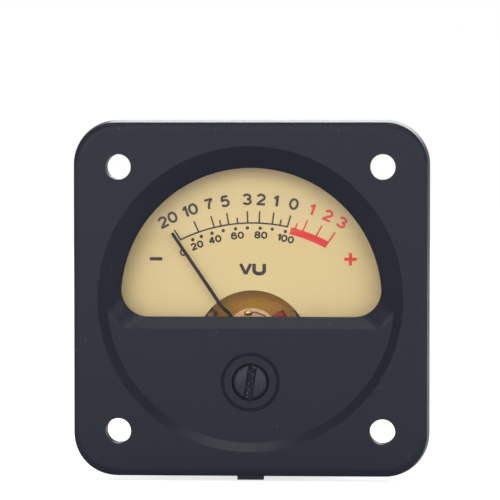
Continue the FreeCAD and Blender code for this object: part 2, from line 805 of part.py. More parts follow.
def make_core_supports():
    """Two blocks that hold the magnet in the yoke, above and below the coil's sweep."""
    start = f"({CORE_FRONT} + support_inset)"
    end = f"({CORE_REAR} - support_inset)"
    gap = cut("support_gap", rod("support_outside", YOKE_INNER, start, end),
              rod("support_inside", "core_radius", start, end))
    bar = block("support_bar", "-support_width / 2", "support_width / 2", start, end,
                f"-{YOKE_INNER}", YOKE_INNER)
    put(node(common("core_supports", [gap, bar]), "core_supports"), z=PIVOT)


# Bridges, jewels and nuts

def make_bridge(label, front, screw_cone):
    """Make a flat bar across the movement, with its jewel screw's hole and two screw holes."""
    body = body_named(label)
    reach = f"({BRIDGE_SCREW_X} + bridge_end)"
    Outline(body, "bar", front).rounded_box(reach, "bridge_half_height", "bridge_end").pad(
        "bridge_thickness")
    Outline(body, "jewel_hole", front).circle("jewel_screw + thread_gap").pocket(
        "bridge_thickness")
    holes = Outline(body, "screw_holes", front)
    for side in SIDES:
        holes.circle("bridge_screw + hole_gap", f"{side} * {BRIDGE_SCREW_X}")
    holes.pocket("bridge_thickness")
    if screw_cone:
        sinks = Outline(body, "sinks", front)
        for side in SIDES:
            sinks.circle("bridge_screw_head + hole_gap", f"{side} * {BRIDGE_SCREW_X}")
        sinks.pocket("bridge_screw_head_depth")
    put(body, z=PIVOT)


def make_bridge_screws():
    """Two sunk screws in the front bridge and two raised ones behind the rear bridge."""
    screws = []
    for index, side in enumerate(SIDES):
        x = f"({side} * {BRIDGE_SCREW_X})"
        screws.append(slotted_screw(
            f"front_bridge_screw_{index}", "bridge_screw", "bridge_screw_head", BRIDGE_FRONT,
            f"({BRIDGE_FRONT} + bridge_screw_head_depth)",
            f"({BRIDGE_FRONT} + bridge_screw_length)", x, PIVOT))
        screws.append(slotted_screw(
            f"rear_bridge_screw_{index}", "bridge_screw", "bridge_screw_head", BACK_BRIDGE_REAR,
            f"({BACK_BRIDGE_REAR} + bridge_screw_head_depth)",
            f"({BACK_BRIDGE_REAR} - bridge_screw_length)", x, PIVOT))
    group("bridge_screws", screws)


def make_jewel_screw(label, inner, outer):
    """Make a headless screw with a seat for its jewel at the inner end, slotted outside."""
    lengths = sorted((inner, outer), key=value)
    stem = rod(f"{label}_stem", "jewel_screw", *lengths)
    towards = 1 if value(outer) > value(inner) else -1
    seat = sorted((inner, f"({inner} + {towards} * jewel_depth)"), key=value)
    slot_ends = sorted((outer, f"({outer} - {towards} * slot_depth)"), key=value)
    tools = fuse(f"{label}_tools", [
        rod(f"{label}_seat", "jewel_radius + thread_gap", *seat),
        block(f"{label}_slot", "-jewel_screw", "jewel_screw", *slot_ends,
              "-slot_width / 2", "slot_width / 2"),
    ])
    put(node(cut(label, stem, tools), label), z=PIVOT)


def make_jewel(label, inner, towards):
    """Make a cup jewel whose dimple faces the pivot."""
    bottom = f"({inner} + {towards} * jewel_dimple)"
    outer = f"({inner} + {towards} * jewel_depth)"
    turned(label, [
        ("0", bottom), ("jewel_dimple", inner), ("jewel_radius", inner),
        ("jewel_radius", outer), ("0", outer),
    ], z=PIVOT)


def make_lock_nut(label, start):
    """Make a thin six-sided nut on a jewel screw."""
    end = f"({start} + lock_nut_depth)"
    nut = cut(label, hexagon(f"{label}_blank", "lock_nut", start, end),
              rod(f"{label}_bore", "jewel_screw + thread_gap", start, end))
    put(node(nut, label), z=PIVOT)


def make_rear_spring_anchor():
    """Fixed arm behind the coil that holds the rear hairspring's outer end."""
    body = body_named("rear_spring_anchor")
    Outline(body, "hub", ANCHOR_FRONT).circle("anchor_hub").pad("anchor_thickness")
    top = "spring_outer + spring_strip / 2 + spring_tab_depth"
    Outline(body, "arm", ANCHOR_FRONT).box(
        "-anchor_arm_width / 2", "anchor_arm_width / 2", "0", top).pad("anchor_thickness")
    Outline(body, "tab", BACK_SPRING_FRONT).box(
        "-spring_tab_width / 2", "spring_tab_width / 2", "spring_outer + spring_strip / 2",
        top).pad(f"{ANCHOR_FRONT} - {BACK_SPRING_FRONT}")
    Outline(body, "bore", ANCHOR_FRONT).circle("jewel_screw + hole_gap").pocket(
        "anchor_thickness")
    put(body, z=PIVOT)


def make_pointer_stops():
    """Two pins on the yoke's front that limit the pointer's swing."""
    pins = []
    for index, side in enumerate(SIDES):
        pins.append(rod(f"pointer_stop_{index}", "stop_radius",
                        f"({NEEDLE_FRONT} - stop_proud)", CORE_FRONT,
                        f"{side} * {STOP_DISTANCE} * sin(stop_angle)",
                        f"{PIVOT} + {STOP_DISTANCE} * cos(stop_angle)"))
    group("pointer_stops", pins)


# Zero adjuster

def make_zero_screw():
    """Slotted plastic screw in the cover with a small pin off its centre."""
    head_front = f"({RECESS_FLOOR} - zero_head_proud)"
    seat = f"({RECESS_FLOOR} + zero_counterbore)"
    clip_front = f"({INNER_FACE} + clip_gap)"
    clip_rear = f"({clip_front} + clip_thickness)"
    stem_end = f"({clip_rear} + clip_thickness)"
    body = body_named("zero_screw")
    Outline(body, "section", plane="XY_Plane").polygon([
        ("0", f"{head_front} - zero_dome"), ("zero_head - zero_dome", f"{head_front}"),
        ("zero_head", f"{head_front} + zero_dome"), ("zero_head", f"{seat} - clip_gap"),
        ("zero_stem", f"{seat} - clip_gap"), ("zero_stem", clip_front),
        ("clip_neck", clip_front), ("clip_neck", clip_rear), ("zero_stem", clip_rear),
        ("zero_stem", stem_end), ("0", stem_end),
    ]).revolve()
    Outline(body, "pin", stem_end).circle("zero_pin", up="-zero_throw").pad(
        f"{LEVER_REAR} - {stem_end}")
    put(body, z=ZERO)
    slot_front = f"({head_front} - zero_dome)"
    Outline(body, "slot", slot_front).polygon(slot_corners()).pocket(
        "zero_dome + zero_slot_depth")


def slot_corners():
    """Give the four corners of the screw's slot, leaning to the right at its top."""
    corners = []
    for across, along in ((-1, -1), (1, -1), (1, 1), (-1, 1)):
        half = f"{across} * zero_slot_width / 2"
        reach = f"{along} * (zero_head + zero_dome)"
        corners.append((f"{half} * cos(zero_slot_angle) + {reach} * sin(zero_slot_angle)",
                        f"{reach} * cos(zero_slot_angle) - {half} * sin(zero_slot_angle)"))
    return corners


def make_zero_screw_clip():
    """Open spring ring that keeps the zero screw in the cover."""
    start = f"({INNER_FACE} + clip_gap)"
    end = f"({start} + clip_thickness)"
    ring = cut("clip_ring", rod("clip_blank", "clip_radius", start, end),
               rod("clip_bore", "clip_neck + thread_gap", start, end))
    mouth = block("clip_mouth", "-clip_neck", "clip_neck", start, end, "0", "clip_radius")
    put(node(cut("zero_screw_clip", ring, mouth), "zero_screw_clip"), z=ZERO)


def make_zero_lever():
    """Forked lever on the front jewel screw that carries the front hairspring's outer end."""
    body = body_named("zero_lever")
    Outline(body, "hub", LEVER_FRONT).circle("lever_hub").pad("lever_thickness")
    Outline(body, "arch", LEVER_FRONT).circle("lever_arch", up="lever_arch_rise").pad(
        "lever_thickness")
    Outline(body, "fork", LEVER_FRONT).box(
        "-lever_fork_width / 2", "lever_fork_width / 2", "-lever_fork_end", "0").pad(
        "lever_thickness")
    slot = "(zero_pin + lever_slot_gap)"
    Outline(body, "slot", LEVER_FRONT).box(
        f"-{slot}", slot, "-lever_fork_end", "-lever_slot_start").pocket("lever_thickness")
    Outline(body, "bore", LEVER_FRONT).circle("jewel_screw + lever_bore_gap").pocket(
        "lever_thickness")
    tab_low = "spring_outer + spring_strip / 2"
    Outline(body, "tab", LEVER_FRONT).box(
        "-spring_tab_width / 2", "spring_tab_width / 2", tab_low,
        f"{tab_low} + spring_tab_depth").pad(f"{SPRING_REAR} - {LEVER_FRONT}")
    put(body, z=PIVOT)


# Pointer and moving coil. Each is made with the pointer straight up and turned to rest.

def at_rest(item):
    """Set a piece of the movement on its axis, at the pointer's rest angle."""
    turn(item, "rest_angle")
    return bind(item, {"Placement.Base.z": PIVOT})


def make_pointer():
    """Flat root on the pivot, cranked forward past the dial plate, with three short arms."""
    body = body_named("pointer")
    half = "pointer_width / 2"
    Outline(body, "hub", ROOT_FRONT).circle("pointer_hub").pad("pointer_thickness")
    Outline(body, "root", ROOT_FRONT).box(f"-{half}", half, "-tail_length", CRANK_START).pad(
        "pointer_thickness")
    Outline(body, "arms", ROOT_FRONT).box("-tail_length", "tail_length", f"-{half}", half).pad(
        "pointer_thickness")
    crank = Outline(body, "crank", plane="YZ_Plane").polygon([
        (ROOT_FRONT, f"{CRANK_START} - pointer_thickness"), (ROOT_REAR, CRANK_START),
        (NEEDLE_REAR, CRANK_END), (NEEDLE_REAR, f"{CRANK_END} + pointer_thickness"),
        (NEEDLE_FRONT, f"{CRANK_END} + pointer_thickness"), (NEEDLE_FRONT, CRANK_END),
    ])
    crank.feature("Pad", {"Length": "pointer_width"}, SideType="Symmetric")
    tip = "pointer_tip_width / 2"
    Outline(body, "needle", NEEDLE_FRONT).polygon([
        (f"-{half}", CRANK_END), (half, CRANK_END), (tip, "pointer_length"),
        (f"-{tip}", "pointer_length"),
    ]).pad("pointer_thickness")
    Outline(body, "pivot_hole", ROOT_FRONT).circle("pivot_radius + jewel_gap").pocket(
        "pointer_thickness")
    at_rest(body)


def make_balance_weights():
    """Three small sleeves on the pointer's tail and side arms."""
    middle = f"({ROOT_FRONT} + pointer_thickness / 2)"
    half = "(pointer_width / 2 + balance_gap)"
    depth = "(pointer_thickness / 2 + balance_gap)"
    near = "(tail_length - balance_end - balance_length)"
    far = "(tail_length - balance_end)"
    sleeves = []
    for index, side in enumerate(SIDES):
        ends = sorted((f"{side} * {near}", f"{side} * {far}"), key=value)
        sleeves.append(cut(
            f"side_balance_{index}",
            cross_rod(f"side_balance_rod_{index}", "balance_radius", *ends, middle, "0"),
            block(f"side_balance_hole_{index}", *ends, f"{middle} - {depth}",
                  f"{middle} + {depth}", f"-{half}", half)))
    tail = solid("Part::Cylinder", "tail_balance_rod", {
        "Radius": "balance_radius", "Height": "tail_balance_length"})
    put(tail, "0", middle, f"-{far}")
    sleeves.append(cut("tail_balance", tail, block(
        "tail_balance_hole", f"-{half}", half, f"{middle} - {depth}", f"{middle} + {depth}",
        f"-{far}", f"tail_balance_length - {far}")))
    at_rest(group("balance_weights", sleeves))


def make_coil_layer(label, build_outside, build_inside):
    """Make one rectangular loop round the magnet, between two distances from the coil's outside."""
    body = body_named(label)
    loop = Outline(body, "loop", plane="XY_Plane")
    middle = f"(({COIL_FRONT} + {COIL_REAR}) / 2)"
    half = f"(({COIL_REAR} - {COIL_FRONT}) / 2)"
    for build in (build_outside, build_inside):
        loop.rounded_box(f"({COIL_REACH} - {build})", f"({half} - {build})", "coil_corner",
                         up=middle)
    loop.feature("Pad", {"Length": "2 * coil_half_width"}, SideType="Symmetric")
    at_rest(body)


def make_pivot(label, base, towards, spring_start, jewel_face):
    """Make a hardened pivot with its base on the coil, its collet and its ground tip."""
    def place(distance):
        return f"({base} + {towards} * ({distance}))"
    collet = f"({towards} * ({spring_start} - {base}))"
    tip = f"({towards} * ({jewel_face} - {base}) + jewel_dimple - pivot_tip - jewel_gap)"
    body = turned(label, [
        ("0", base), ("pivot_base", base), ("pivot_base", place("coil_play")),
        ("pivot_radius", place("coil_play")), ("pivot_radius", place(collet)),
        ("collet_radius", place(collet)), ("collet_radius", place(f"{collet} + spring_width")),
        ("pivot_radius", place(f"{collet} + spring_width")),
        ("pivot_radius", place(f"{tip} - pivot_cone")), ("pivot_tip", place(tip)),
        ("0", place(tip)),
    ])
    at_rest(body)


# Hairsprings

def spiral_edges(inner, outer, turns):
    """Join half circles into a flat spiral from its inner end to its outer end."""
    halves = int(2 * turns)
    step = (outer - inner) / halves
    edges = []
    start = Vector(inner, 0, 0)
    direction = -1
    for index in range(halves):
        radius = inner + step * (index + 0.5)
        centre = start + Vector(direction * radius, 0, 0)
        end = centre + Vector(direction * radius, 0, 0)
        side = centre + Vector(0, 0, -direction * radius)
        edges.append(Part.Arc(start, side, end).toShape())
        start = end
        direction = -direction
    return edges, start


def make_hairspring(label, front):
    """Wind a thin flat strip from the collet out to its anchor above the axis."""
    strip = value("spring_strip")
    turns = value("spring_turns")
    inner = value("collet_radius") + strip / 2
    outer = value("spring_outer")
    width = value("spring_width")
    inside, inside_end = spiral_edges(inner - strip / 2, outer - strip / 2, turns)
    outside, outside_end = spiral_edges(inner + strip / 2, outer + strip / 2, turns)
    start_cap = Part.LineSegment(Vector(inner - strip / 2, 0, 0), Vector(inner + strip / 2, 0, 0))
    end_cap = Part.LineSegment(inside_end, outside_end)
    edges = inside + [end_cap.toShape()] + outside + [start_cap.toShape()]
    face = Part.Face(Part.Wire(Part.__sortEdges__(edges)))
    item = doc.addObject("Part::Feature", label)
    item.Shape = face.extrude(Vector(0, width, 0))
    upright = FreeCAD.Rotation(Y_AXIS, -90)
    item.Placement = FreeCAD.Placement(Vector(0, value(front), value(PIVOT)), upright)
    node(item, label)


# Electrics

def make_circuit_board():
    """Small board on the two terminal studs."""
    body = body_named("circuit_board")
    half_height = f"(({BOARD_TOP} - board_bottom) / 2)"
    Outline(body, "board", BOARD_FRONT).rounded_box(
        "board_half_width", half_height, "board_corner",
        up=f"({BOARD_TOP} + board_bottom) / 2").pad("board_thickness")
    holes = Outline(body, "holes", BOARD_FRONT)
    for side in SIDES:
        holes.circle("stud_radius + hole_gap", f"{side} * stud_pitch / 2", "stud_height")
    holes.pocket("board_thickness")


def axial_part(name, radius, length, x, z):
    """Make a part with a wire at each end, lying along X just above the board."""
    y = f"({BOARD_FRONT} - {radius} - lead_wire)"
    half = f"({length} / 2)"
    wire = f"({half} + lead_overhang)"
    pieces = [
        cross_rod(f"{name}_body", radius, f"({x} - {half})", f"({x} + {half})", y, z),
        cross_rod(f"{name}_wire", "lead_wire", f"({x} - {wire})", f"({x} + {wire})", y, z),
    ]
    for side in SIDES:
        end = f"({x} + {side} * {wire})"
        pieces.append(rod(f"{name}_leg_{side + 1}", "lead_wire", y, BOARD_FRONT, end, z))
        bend = solid("Part::Sphere", f"{name}_bend_{side + 1}", {"Radius": "lead_wire"})
        pieces.append(put(bend, end, y, z))
    return fuse(name, pieces)


def make_board_parts():
    """Four rectifier diodes and one series resistor."""
    diodes = []
    for index in range(4):
        column = index % 2 * 2 - 1
        level = index // 2 * 2 - 1
        diodes.append(axial_part(
            f"diode_{index}", "diode_radius", "diode_length", f"({column} * diode_column)",
            f"({DIODE_HEIGHT} + {level} * diode_pitch / 2)"))
    group("diodes", diodes)
    resistor = axial_part("series_resistor", "resistor_radius", "resistor_length", "0",
                          "resistor_height")
    node(resistor, "series_resistor")


def make_terminals():
    """Two studs through the back wall, each with a washer, a solder lug and a nut."""
    studs, washers, lugs, nuts = [], [], [], []
    washer_end = f"({CASE_END} + washer_thickness)"
    lug_end = f"({washer_end} + lug_thickness)"
    nut_end = f"({lug_end} + nut_depth)"
    neck_end = f"({nut_end} + stud_relief_past_nut)"
    for index, side in enumerate(SIDES):
        x = f"({side} * stud_pitch / 2)"
        z = "stud_height"
        studs.append(fuse(f"stud_{index}", [
            rod(f"stud_head_{index}", "stud_head", f"({BOARD_FRONT} - stud_head_depth)",
                BOARD_FRONT, x, z),
            rod(f"stud_neck_{index}", "(stud_radius - stud_relief)", BOARD_FRONT, neck_end, x, z),
            rod(f"stud_shaft_{index}", "stud_radius", neck_end,
                f"({STUD_END} - stud_chamfer)", x, z),
            rod(f"stud_point_{index}", "(stud_radius - stud_chamfer)",
                f"({STUD_END} - stud_chamfer)", STUD_END, x, z),
        ]))
        washers.append(cut(
            f"washer_{index}",
            rod(f"washer_blank_{index}", "washer_radius", CASE_END, washer_end, x, z),
            rod(f"washer_bore_{index}", "(stud_radius + hole_gap)", CASE_END, washer_end, x, z)))
        tail = block(f"lug_tail_{index}", f"{x} - lug_tail_width / 2",
                     f"{x} + lug_tail_width / 2", washer_end, lug_end, f"{z} - lug_tail", z)
        blank = fuse(f"lug_blank_{index}", [
            tail, rod(f"lug_ring_{index}", "lug_ring", washer_end, lug_end, x, z)])
        bores = fuse(f"lug_bores_{index}", [
            rod(f"lug_bore_{index}", "(stud_radius + hole_gap)", washer_end, lug_end, x, z),
            rod(f"lug_eye_{index}", "lug_eye", washer_end, lug_end, x,
                f"({z} - lug_tail + 2 * lug_eye)")])
        lugs.append(cut(f"lug_{index}", blank, bores))
        nuts.append(cut(
            f"nut_{index}",
            hexagon(f"nut_blank_{index}", "nut_radius", lug_end, nut_end, x, z),
            rod(f"nut_bore_{index}", "(stud_radius + thread_gap)", lug_end, nut_end, x, z)))
    group("terminal_studs", studs)
    group("terminal_washers", washers)
    group("solder_lugs", lugs)
    group("terminal_nuts", nuts)


def make_signal_leads():
    """Two stiff wires to the board: a bent one from the spring's anchor, one from the frame."""
    y = f"({ANCHOR_FRONT} + anchor_thickness / 2)"
    low = f"({PIVOT} + spring_outer + spring_strip / 2 + spring_tab_depth)"
    high = "(board_bottom + signal_inset)"
    rise = solid("Part::Cylinder", "anchor_wire_rise", {
        "Radius": "signal_wire", "Height": f"{high} - {low}"})
    put(rise, "0", y, low)
    bend = put(solid("Part::Sphere", "anchor_wire_bend", {"Radius": "signal_wire"}), "0", y, high)
    run = rod("anchor_wire_run", "signal_wire", y, BOARD_FRONT, "0", high)
    straight = rod("frame_wire", "signal_wire", FRAME_REAR, BOARD_FRONT, "-frame_wire_x",
                   "frame_wire_height")
    group("signal_leads", [fuse("anchor_wire", [rise, bend, run]), straight])


def check_and_write():
    """Check every object, then write each node to its own file."""
    doc.recompute()
    failed = [item.Name for item in doc.Objects
              if {"Invalid", "Error"} & set(item.State)]
    for item in nodes:
        shape = item.Shape
        if shape.isNull() or not shape.isValid() or not shape.Solids:
            failed.append(item.Label)
    if failed:
        raise RuntimeError(f"not whole: {sorted(set(failed))}")
    os.makedirs("parts", exist_ok=True)
    for item in nodes:
        item.Shape.exportStep(f"parts/{item.Label}.step")
        print(f"{item.Label}: {len(item.Shape.Solids)} solid, {item.Shape.Volume:.3f} mm3")


make_front_cover()
make_window_pane()
make_rear_case()
make_case_screws()
make_dial_plate()
make_dial_screws()
make_movement_frame()
make_frame_screws()
make_yoke_ring()
make_core_magnet()
make_core_supports()
make_bridge("front_bridge", BRIDGE_FRONT, True)
make_bridge("rear_bridge", BACK_BRIDGE_FRONT, False)
make_bridge_screws()
make_jewel_screw("front_jewel_screw", BRIDGE_REAR, JEWEL_SCREW_FRONT)
make_jewel_screw("rear_jewel_screw", ANCHOR_FRONT, JEWEL_SCREW_REAR)
make_jewel("front_jewel", BRIDGE_REAR, -1)
make_jewel("rear_jewel", ANCHOR_FRONT, 1)
make_lock_nut("front_lock_nut", f"({LEVER_FRONT} - lever_play - lock_nut_depth)")
make_lock_nut("rear_lock_nut", BACK_BRIDGE_REAR)
make_rear_spring_anchor()
make_pointer_stops()
make_zero_screw()
make_zero_screw_clip()
make_zero_lever()
make_pointer()
make_balance_weights()
make_coil_layer("coil_winding", "0", "winding_build")
make_coil_layer("coil_former", "winding_build", COIL_BUILD)
make_pivot("front_pivot", COIL_FRONT, -1, SPRING_REAR, BRIDGE_REAR)
make_pivot("rear_pivot", COIL_REAR, 1, BACK_SPRING_FRONT, ANCHOR_FRONT)
make_hairspring("front_hairspring", SPRING_FRONT)
make_hairspring("rear_hairspring", BACK_SPRING_FRONT)
make_circuit_board()
make_board_parts()
make_terminals()
make_signal_leads()
check_and_write()
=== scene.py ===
"""Looks of the analog level meter: finer pieces, finishes, lamps and camera round the frame."""
import logging
import math
from dataclasses import dataclass
from enum import Enum

import bmesh
import bpy
from mathutils import Matrix, Vector
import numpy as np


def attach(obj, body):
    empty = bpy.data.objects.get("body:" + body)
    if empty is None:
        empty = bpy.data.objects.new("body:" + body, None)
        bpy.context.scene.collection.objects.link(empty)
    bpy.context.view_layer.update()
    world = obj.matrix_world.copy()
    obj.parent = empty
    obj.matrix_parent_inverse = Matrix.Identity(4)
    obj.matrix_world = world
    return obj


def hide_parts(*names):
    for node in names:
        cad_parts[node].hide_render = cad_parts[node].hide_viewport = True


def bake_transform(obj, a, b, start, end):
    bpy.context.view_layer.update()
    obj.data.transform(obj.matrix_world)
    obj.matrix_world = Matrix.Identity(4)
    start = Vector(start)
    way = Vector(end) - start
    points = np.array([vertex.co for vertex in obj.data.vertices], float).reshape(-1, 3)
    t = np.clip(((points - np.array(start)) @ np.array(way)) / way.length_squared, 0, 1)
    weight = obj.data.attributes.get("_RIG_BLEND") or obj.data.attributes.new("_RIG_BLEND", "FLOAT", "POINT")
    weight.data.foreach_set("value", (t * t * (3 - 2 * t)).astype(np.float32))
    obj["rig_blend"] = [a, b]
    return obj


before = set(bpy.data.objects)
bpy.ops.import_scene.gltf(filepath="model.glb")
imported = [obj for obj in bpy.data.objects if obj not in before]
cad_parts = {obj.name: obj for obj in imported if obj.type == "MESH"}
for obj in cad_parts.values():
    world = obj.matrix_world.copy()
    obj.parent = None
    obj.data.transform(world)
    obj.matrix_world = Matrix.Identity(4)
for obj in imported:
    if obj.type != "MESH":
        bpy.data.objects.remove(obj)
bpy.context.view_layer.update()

log = logging.getLogger("level_meter")

Colour = tuple[float, float, float]
Point = tuple[float, float]
Point3 = tuple[float, float, float]
Socket = bpy.types.NodeSocket
Piece = bpy.types.Object

MM = 0.001
# How near two points are merged, in millimetres
MERGE = 0.001
# How far one step of a curved strip turns, in degrees
STEP_ANGLE = 0.8

# Places from the solids, in millimetres: y runs from the front to the back, z up, pivot on x = 0
DIAL_FRONT = 2.4
PIVOT_Z = -6.8
ZERO_Z = -10.45
REST_ANGLE = -34.1
STUD_X = 8.0
STUD_Z = 8.0


def choose_by_ray(tree: bpy.types.NodeTree, ray: str, first: Socket, second: Socket,
                  out: Socket) -> None:
    """Show the second shader to rays of one kind, and the first to all the others.

    Args:
        tree: The nodes of the material or the world.
        ray: The kind of ray, as the Light Path node names it.
        first, second: The two shaders.
        out: Where the choice goes.
    """
    rays = tree.nodes.new("ShaderNodeLightPath")
    pick = tree.nodes.new("ShaderNodeMixShader")
    for source, socket in zip((rays.outputs[ray], first, second), pick.inputs):
        tree.links.new(source, socket)
    tree.links.new(pick.outputs["Shader"], out)


def paint(red: int, green: int, blue: int) -> Colour:
    """Turn a screen colour into the linear one that shaders take.

    Args:
        red, green, blue: Screen values from 0 to 255.

    Returns:
        The linear red, green and blue.
    """
    def linear(part: float) -> float:
        return part / 12.92 if part <= 0.04045 else ((part + 0.055) / 1.055) ** 2.4
    return linear(red / 255), linear(green / 255), linear(blue / 255)


def shade(colour: Colour, share: float) -> Colour:
    """Make a colour darker or lighter by a share of itself."""
    return tuple(min(1.0, part * share) for part in colour)


def bow(x: float, z: float, across: float, up: float, start: float, end: float,
        steps: int = 14) -> list[Point]:
    """Sample part of an ellipse with half sizes across and up, anticlockwise in degrees."""
    turns = [math.radians(start + (end - start) * step / steps) for step in range(steps + 1)]
    return [(x + math.cos(turn) * across, z + math.sin(turn) * up) for turn in turns]


# The middle line of each printed character, in a box from 0 to 1 both ways
CHARACTERS = {
    "0": [bow(0.5, 0.5, 0.5, 0.5, 90, 450, 24)],
    "1": [[(0.0, 0.76), (0.5, 0.82), (1.0, 1.0)], [(1.0, 1.08), (1.0, -0.08)]],
    "2": [bow(0.5, 0.70, 0.47, 0.30, 165, -30) + [(0.45, 0.30), (0.03, 0.0)],
          [(-0.08, 0.0), (1.06, 0.0)]],
    "3": [bow(0.48, 0.755, 0.44, 0.245, 165, -90), bow(0.48, 0.255, 0.5, 0.255, 90, -165)],
    "4": [[(0.76, -0.08), (0.76, 1.06)], [(0.76, 1.0), (0.0, 0.28)], [(-0.06, 0.28), (1.1, 0.28)]],
    "5": [[(0.96, 1.0), (0.16, 1.0)], [(0.2, 1.0), (0.1, 0.48)],
          bow(0.5, 0.32, 0.5, 0.32, 145, -150)],
    "6": [bow(0.5, 0.5, 0.48, 0.5, 30, 185, 12), bow(0.5, 0.30, 0.5, 0.30, 165, 525, 22)],
    "7": [[(-0.06, 1.0), (1.0, 1.0)], bow(1.15, 0.0, 0.80, 1.0, 100, 180, 8)],
    "8": [bow(0.5, 0.76, 0.42, 0.24, -90, 270, 20), bow(0.5, 0.26, 0.5, 0.26, 90, 450, 20)],
    "V": [[(0.0, 1.12), (0.5, -0.05)], [(1.0, 1.12), (0.5, -0.05)]],
    "U": [[(0.0, 1.12)] + bow(0.5, 0.36, 0.5, 0.36, 180, 360) + [(1.0, 1.12)]],
}

# How wide the characters and the gaps between them are, as shares of the height
WIDTHS = {"1": 0.28, "V": 0.82, "U": 0.82}
DIGIT_WIDTH = 0.60
LETTER_GAP = 0.27


class Ink(Enum):
    """The two inks of the dial's print."""
    BLACK = "dial_black_ink"
    RED = "dial_red_ink"


# What each ink prints on the upper scale, by bearings from the pivot in degrees
NUMERALS = {
    Ink.BLACK: (("20", -32.9), ("10", -24.0), ("7", -16.4), ("5", -10.5), ("3", -2.0),
                ("2", 3.25), ("1", 8.75), ("0", 15.75)),
    Ink.RED: (("1", 22.6), ("2", 29.15), ("3", 34.85))}
LONG_MARKS = {Ink.BLACK: (-32.95, -24.35, -17.15, -10.6, -2.1, 3.0, 8.85, 15.75),
              Ink.RED: (22.8, 29.0, 34.85)}
SHORT_MARKS = {Ink.BLACK: (-14.1, -6.6, 12.35), Ink.RED: (19.3,)}


class Side(Enum):
    """The two sides of the meter, seen from the front."""
    LEFT = -1
    RIGHT = 1


@dataclass(frozen=True)
class Lettering:
    """The size of one kind of printed character and its circle on the dial, in millimetres."""
    height: float
    stroke: float
    radius: float = 0.0


